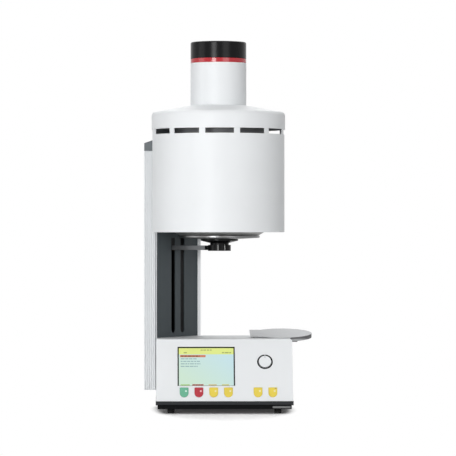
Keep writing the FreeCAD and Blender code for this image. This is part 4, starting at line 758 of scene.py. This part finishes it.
class PaintScreen(bpy.types.Operator):
    """Lay out the lit picture: header, menu lines and the four key labels"""

    bl_idname = "furnace.paint_screen"
    bl_label = "Screen picture"

    def tiles(self, name, places, color):
        """One lit piece of the picture, with a tile at each place."""
        depth = sizes().ink_depth
        piece = join([printed_tile(*place, depth) for place in places])
        material = lit_picture(name, color).material
        finish_piece(piece, name, material, "furnace")

    def words(self, left, up, out, length, height, seed):
        """A line of text as a row of tiles' places, one for each word."""
        chance = random.Random(seed)
        places = []
        x = left
        while x < left + length:
            width = min(chance.uniform(*WORD_MILLIMETRES) * MM, left + length - x)
            if width > WORD_LEAST:
                places.append((x + width / 2, up, out, width, height))
            x += width + WORD_GAP
        return places

    def execute(self, context):
        look = sizes()
        left, right, low, high = picture_edges()
        width, height = right - left, high - low
        glass = panel_face("display_module")[2]
        over = glass + look.ink_depth

        def block(up, start, length, share):
            middle = left + width * (start + length / 2)
            return [(middle, up, glass, width * length, height * share)]

        def text(up, start, length, size, seed, out=over):
            line = look.line_height * size
            return self.words(left + width * start, up, out, width * length, line, seed)

        header_height = height * look.header_share
        header = block(high - header_height / 2, 0, 1, look.header_share)
        self.tiles("screen_header", header, tuple(look.header_color))
        title = []
        for start, length, drop, size, seed in TITLE_TEXTS:
            title += text(high - header_height * drop, start, length, size, seed)
        self.tiles("screen_title", title, TITLE_INK)

        choice_up = high - height * CHOICE_DROP
        self.tiles("screen_choice", block(choice_up, **CHOICE_BAR), CHOICE_COLOR)
        self.tiles("screen_choice_text", text(choice_up, **CHOICE_TEXT), CHOICE_INK)

        menu = []
        for row, length in enumerate(MENU_LENGTHS):
            up = choice_up - height * (MENU_DROP + MENU_PITCH * row)
            menu += text(up, MENU_START, length, MENU_SIZE, MENU_SEED + row, out=glass)
        self.tiles("screen_menu", menu, MENU_INK)

        label_up = low + height * LABEL_UP
        for number, (start, length, color) in enumerate(LABELS, 1):
            label = block(label_up, start, length, LABEL_HEIGHT)
            self.tiles(f"screen_label_{number}", label, color)
        self.tiles("screen_label_2_text", text(label_up, **LABEL_TEXT), LABEL_INK)
        return {"FINISHED"}


KEY_NODES = (
    "soft_key_1", "soft_key_2", "soft_key_3", "soft_key_4", "side_key_1", "side_key_2"
)
# Pale tints of the keys' colours for the windows' glow, partly a painted highlight.
WINDOW_HIGHLIGHT_COLORS = {"soft_key_1": (0.8, 1.0, 0.92), "soft_key_2": (0.95, 0.62, 0.66)}
PALE_YELLOW = (1.0, 0.9, 0.55)


class SetKeyWindows(bpy.types.Operator):
    """Set a small domed window into each key; its glow is partly an LED window and partly a painted highlight on
    the domed key
    """

    bl_idname = "furnace.set_key_windows"
    bl_label = "Key windows"

    def execute(self, context):
        look = sizes()
        flatness, sink, foot = 0.28, 0.25 * MM, 0.3 * MM
        for node in KEY_NODES:
            key_x, key_up, face = panel_face(node)
            x, up = key_x + look.window_right, key_up + look.window_up
            start_mesh()
            bpy.ops.mesh.primitive_uv_sphere_add(
                segments=24,
                ring_count=12,
                radius=look.window_radius,
                location=panel_point(x, up, face - sink),
                rotation=PANEL_TURN,
            )
            window = bpy.context.object
            window.scale = (1, 1, flatness)
            bpy.ops.object.mode_set(mode="EDIT")
            bpy.ops.mesh.select_all(action="SELECT")
            bpy.ops.mesh.bisect(
                plane_co=panel_point(x, up, face - foot),
                plane_no=PANEL_OUT,
                use_fill=True,
                clear_inner=True,
            )
            bpy.ops.object.mode_set(mode="OBJECT")
            name = node + "_window"
            color = WINDOW_HIGHLIGHT_COLORS.get(node, PALE_YELLOW)
            # The window's emission is partly a painted highlight.
            material = lit_picture(name, color, strength=0.85).material
            finish_piece(window, name, material, node, smooth=60)
        return {"FINISHED"}


class SetKeyMark(bpy.types.Operator):
    """Print the dark mark on the second key beside the dial"""

    bl_idname = "furnace.set_key_mark"
    bl_label = "Key mark"

    def execute(self, context):
        x, up, face = panel_face("side_key_2")
        right, above, sink = 5.4 * MM, 8.0 * MM, 0.05 * MM
        mark = printed_tile(
            x + right, up + above, face - sink, width=3.4 * MM, height=1.3 * MM, depth=0.1 * MM
        )
        finish_piece(mark, "side_key_2_mark", FINISHES["cap_paint"], "side_key_2")
        return {"FINISHED"}


class SetDialMarks(bpy.types.Operator):
    """Set the ring's white notch, the dial's dot, and a black band of painted shade round the dial's edge"""

    bl_idname = "furnace.set_dial_marks"
    bl_label = "Dial marks"

    def execute(self, context):
        knob_low, knob_high = panel_span("dial_knob")
        radius, face = (knob_high[1] - knob_low[1]) / 2, knob_high[2]
        ring_face = panel_face("dial_collar")[2]
        centre = DIAL_CENTRE.x

        notch_up, notch_sink = radius + 1.45 * MM, 0.05 * MM
        notch = printed_tile(
            centre, notch_up, ring_face - notch_sink,
            width=1.6 * MM, height=2.6 * MM, depth=0.12 * MM,
        )
        finish_piece(notch, "dial_notch", FINISHES["white_paint"], "furnace")

        # Painted shade: a black band darkens the dial's rim.
        band_depth, band_proud = 0.8 * MM, 0.04 * MM
        middle = panel_point(centre, 0, face - band_depth / 2 + band_proud)
        band = cylinder(96, radius, band_depth, middle, PANEL_TURN, ends="NOTHING")
        wall = band.modifiers.new("wall", "SOLIDIFY")
        wall.thickness = sizes().band_width
        wall.offset = -1
        apply_modifiers(band)
        finish_piece(band, "dial_shade_band", FINISHES["black_plastic"], "dial", smooth=40)

        dot_up, dot_sink = radius - 3.2 * MM, 0.04 * MM
        dot = printed_tile(
            centre, dot_up, face - dot_sink, width=1.2 * MM, height=2.4 * MM, depth=0.08 * MM
        )
        finish_piece(dot, "dial_dot", FINISHES["cap_paint"], "dial")
        return {"FINISHED"}


class SetHubPins(bpy.types.Operator):
    """Set the bright dowel pins into the rim of the lift's hub"""

    bl_idname = "furnace.set_hub_pins"
    bl_label = "Hub pins"

    def execute(self, context):
        look = sizes()
        plate_low, plate_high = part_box("lift_plate")
        middle = (plate_low + plate_high) / 2
        length, sink = 13.5 * MM, 0.2 * MM
        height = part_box("lift_hub")[0].z + length / 2 - sink
        for number, degrees in enumerate((262, 297, 52, 87), 1):
            turn = math.radians(degrees)
            x = middle.x + math.cos(turn) * look.pin_circle
            y = middle.y + math.sin(turn) * look.pin_circle
            pin = cylinder(20, look.pin_radius, length, (x, y, height))
            bevel_edges(pin, 0.25 * MM, segments=2)
            apply_modifiers(pin)
            finish_piece(pin, f"hub_pin_{number}", FINISHES["brushed_steel"], "lift", smooth=40)
        return {"FINISHED"}


class SetCoverScrews(bpy.types.Operator):
    """Put button-head screws on the rear panel and the back of the column's housing"""

    bl_idname = "furnace.set_cover_screws"
    bl_label = "Cover screws"

    def head(self):
        """One button head with a hexagon socket, modelled at the origin and facing up."""
        radius, height = sizes().screw_radius, sizes().screw_height
        crown_share, socket_share, socket_lift = 0.45, 0.45, 0.4
        head = cylinder(36, radius, height)
        bevel_edges(head, height * crown_share, segments=3)
        apply_modifiers(head)
        socket = cylinder(6, radius * socket_share, height, (0, 0, height * socket_lift))
        cutter = head.modifiers.new("socket", "BOOLEAN")
        cutter.object = socket
        cutter.operation = "DIFFERENCE"
        cutter.solver = "EXACT"
        apply_modifiers(head)
        bpy.data.objects.remove(socket)
        return head

    def places(self):
        """Where each screw sits: six on the rear panel and six down the housing."""
        margin = 7 * MM
        low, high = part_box("rear_panel")
        for x in (low.x + margin, (low.x + high.x) / 2, high.x - margin):
            for z in (low.z + margin, high.z - margin):
                yield Vector((x, high.y, z))
        low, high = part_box("column_housing")
        for share in (0.1, 0.5, 0.9):
            for x in (low.x + margin, high.x - margin):
                yield Vector((x, high.y, low.z + (high.z - low.z) * share))

    def execute(self, context):
        sink = 0.05 * MM
        proud = Vector((0, sizes().screw_height / 2 - sink, 0))
        pattern = self.head()
        for number, place in enumerate(self.places(), 1):
            screw = pattern.copy()
            screw.data = pattern.data.copy()
            bpy.context.scene.collection.objects.link(screw)
            screw.rotation_euler = (math.radians(-90), 0, 0)
            screw.location = place + proud
            name = f"cover_screw_{number}"
            finish_piece(screw, name, FINISHES["ground_steel"], "furnace", smooth=35)
        bpy.data.objects.remove(pattern)
        return {"FINISHED"}


# Name, place, width, height and watts of each soft lamp
LAMPS = (
    ("key_lamp", (-1.25, -3.55, 0.75), 1.1, 1.2, 54),
    ("right_lamp", (1.9, -3.3, 1.3), 1.8, 1.8, 31),
    ("left_lamp", (-3.4, -0.9, 1.0), 1.8, 2.2, 22),
    ("back_lamp", (0.0, 1.9, 3.0), 2.6, 2.0, 52),
    ("top_lamp", (-0.1, -0.9, 3.4), 2.4, 2.0, 26),
)
LAMP_AIM = Vector((0, 0, 0.4))
AMBIENT = 0.085
PHOTO_WIDTH = 456
FOCAL_PIXELS = 3001.4
SENSOR_WIDTH = 36
CAMERA_LEFT = 0.13425
CAMERA_DISTANCE = 6.24
CAMERA_HEIGHT = 0.3785
CAMERA_YAW = 1.2025
CAMERA_PITCH = 0.0764


class LightStudio(bpy.types.Operator):
    """Set up the pale floor, the soft lamps, the white world and the camera"""

    bl_idname = "furnace.light_studio"
    bl_label = "Studio"

    def lamp(self, name, place, width, height, power):
        """A soft box that looks at the furnace's middle."""
        start_mesh()
        bpy.ops.object.light_add(type="AREA", location=place)
        lamp = bpy.context.object
        lamp.name = name
        lamp.data.shape = "RECTANGLE"
        lamp.data.size = width
        lamp.data.size_y = height
        lamp.data.energy = power
        lamp.rotation_euler = (LAMP_AIM - Vector(place)).to_track_quat("-Z", "Y").to_euler()

    def world(self):
        """Even soft light on the object, and plain white where a ray meets the background."""
        world = bpy.data.worlds.new("studio_white")
        world.use_nodes = True
        sky = NodeTree(world.node_tree)
        background = sky.tree.nodes["Background"]
        background.inputs["Color"].default_value = (1, 1, 1, 1)
        path = sky.node("ShaderNodeLightPath").outputs
        seen = sky.calculate("MAXIMUM", path["Is Camera Ray"], path["Is Glossy Ray"])
        clear = sky.calculate("MAXIMUM", seen, path["Is Transmission Ray"])
        level = sky.map_range(clear, result=(AMBIENT, 1.0))
        sky.link(level, background.inputs["Strength"])
        bpy.context.scene.world = world

    def floor_finish(self):
        """Matt white, lifted for the camera where the floor lies open; the lift fades with ambient occlusion,
        which paints extra shade on the floor near the furnace.

        Outside an ellipse round the furnace it is plain white for the camera.
        """
        finish = Finish("studio_floor")
        mottle = finish.noise(finish.place(), scale=3)
        finish.tint(mottle, [(0.3, (0.95, 0.95, 0.95)), (0.7, (0.96, 0.96, 0.96))])
        finish.set(Roughness=0.9, Specular_IOR_Level=0.0, Emission_Color=(1, 1, 1, 1))
        seen = finish.node("ShaderNodeLightPath").outputs["Is Camera Ray"]

        # Painted shade: the camera's lift fades with ambient occlusion, darkening the floor near the furnace.
        near_reach, falloff, rise, base = 0.45, 2.5, 0.32, 0.04
        nearness = finish.node("ShaderNodeAmbientOcclusion", samples=12)
        nearness.inputs["Distance"].default_value = near_reach
        openness = finish.calculate("POWER", nearness.outputs["AO"], falloff)
        lift = finish.calculate("MULTIPLY_ADD", openness, rise, base)
        glow = finish.calculate("MULTIPLY", seen, lift)
        finish.link(glow, finish.shader.inputs["Emission Strength"])

        half_width, half_depth, shift, fade = 0.159, 0.42, (0.06, -0.05, 0), (0.84, 1.0)
        ellipse = finish.place((1 / half_width, 1 / half_depth, 1), shift)
        away = finish.map_range(finish.distance(ellipse), fade, kind="SMOOTHSTEP")
        blend = finish.node("ShaderNodeMixShader")
        white = finish.node("ShaderNodeEmission")
        finish.link(finish.calculate("MULTIPLY", away, seen), blend.inputs[0])
        finish.link(finish.shader.outputs[0], blend.inputs[1])
        finish.link(white.outputs[0], blend.inputs[2])
        output = finish.tree.nodes["Material Output"]
        finish.link(blend.outputs[0], output.inputs["Surface"])
        return finish

    def floor(self):
        """A wide floor that keeps the shadow near the furnace and runs out into white."""
        start_mesh()
        width, behind = 14, 2
        bpy.ops.mesh.primitive_plane_add(size=width, location=(0, behind, 0))
        floor = bpy.context.object
        bpy.ops.object.transform_apply(location=True, rotation=False, scale=False)
        floor.name = "studio_floor"
        dress(floor, self.floor_finish().material)

    def camera(self):
        """The photograph's place: level, far away and a little left of the furnace's middle."""
        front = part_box("base_pan")[0].y
        place = (-CAMERA_LEFT, front - CAMERA_DISTANCE, CAMERA_HEIGHT)
        bpy.ops.object.camera_add(location=place)
        camera = bpy.context.object
        camera.name = "photo_camera"
        camera.data.sensor_width = SENSOR_WIDTH
        camera.data.lens = FOCAL_PIXELS / PHOTO_WIDTH * SENSOR_WIDTH
        camera.data.clip_end = 60
        yaw, pitch = math.radians(CAMERA_YAW), math.radians(CAMERA_PITCH)
        camera.rotation_euler = (math.radians(90) + pitch, 0, -yaw)
        bpy.context.scene.camera = camera

    def execute(self, context):
        self.floor()
        self.world()
        for row in LAMPS:
            self.lamp(*row)
        bpy.context.scene.view_settings.view_transform = "Standard"
        self.camera()
        return {"FINISHED"}


class FurnacePanel(bpy.types.Panel):
    """Lists the furnace's pieces and sizes in the sidebar"""

    bl_idname = "FURNACE_PT_pieces"
    bl_label = "Press furnace"
    bl_space_type = "VIEW_3D"
    bl_region_type = "UI"
    bl_category = "Furnace"

    def draw(self, context):
        for operator in STEPS:
            self.layout.operator(operator.bl_idname)
        for name in FurnaceSizes.__annotations__:
            self.layout.prop(context.scene.furnace_sizes, name)


STEPS = (
    DressSolids,
    PaintScreen,
    SetKeyWindows,
    SetKeyMark,
    SetDialMarks,
    SetHubPins,
    SetCoverScrews,
    LightStudio,
)
CLASSES = (FurnaceSizes, *STEPS, FurnacePanel)


def register():
    for item in CLASSES:
        bpy.utils.register_class(item)
    bpy.types.Scene.furnace_sizes = bpy.props.PointerProperty(type=FurnaceSizes)


def unregister():
    del bpy.types.Scene.furnace_sizes
    for item in reversed(CLASSES):
        bpy.utils.unregister_class(item)


def main():
    """Register the add-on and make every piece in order."""
    register()
    bpy.ops.furnace.dress_solids()
    bpy.ops.furnace.paint_screen()
    bpy.ops.furnace.set_key_windows()
    bpy.ops.furnace.set_key_mark()
    bpy.ops.furnace.set_dial_marks()
    bpy.ops.furnace.set_hub_pins()
    bpy.ops.furnace.set_cover_screws()
    bpy.ops.furnace.light_studio()


if __name__ == "__main__":
    main()
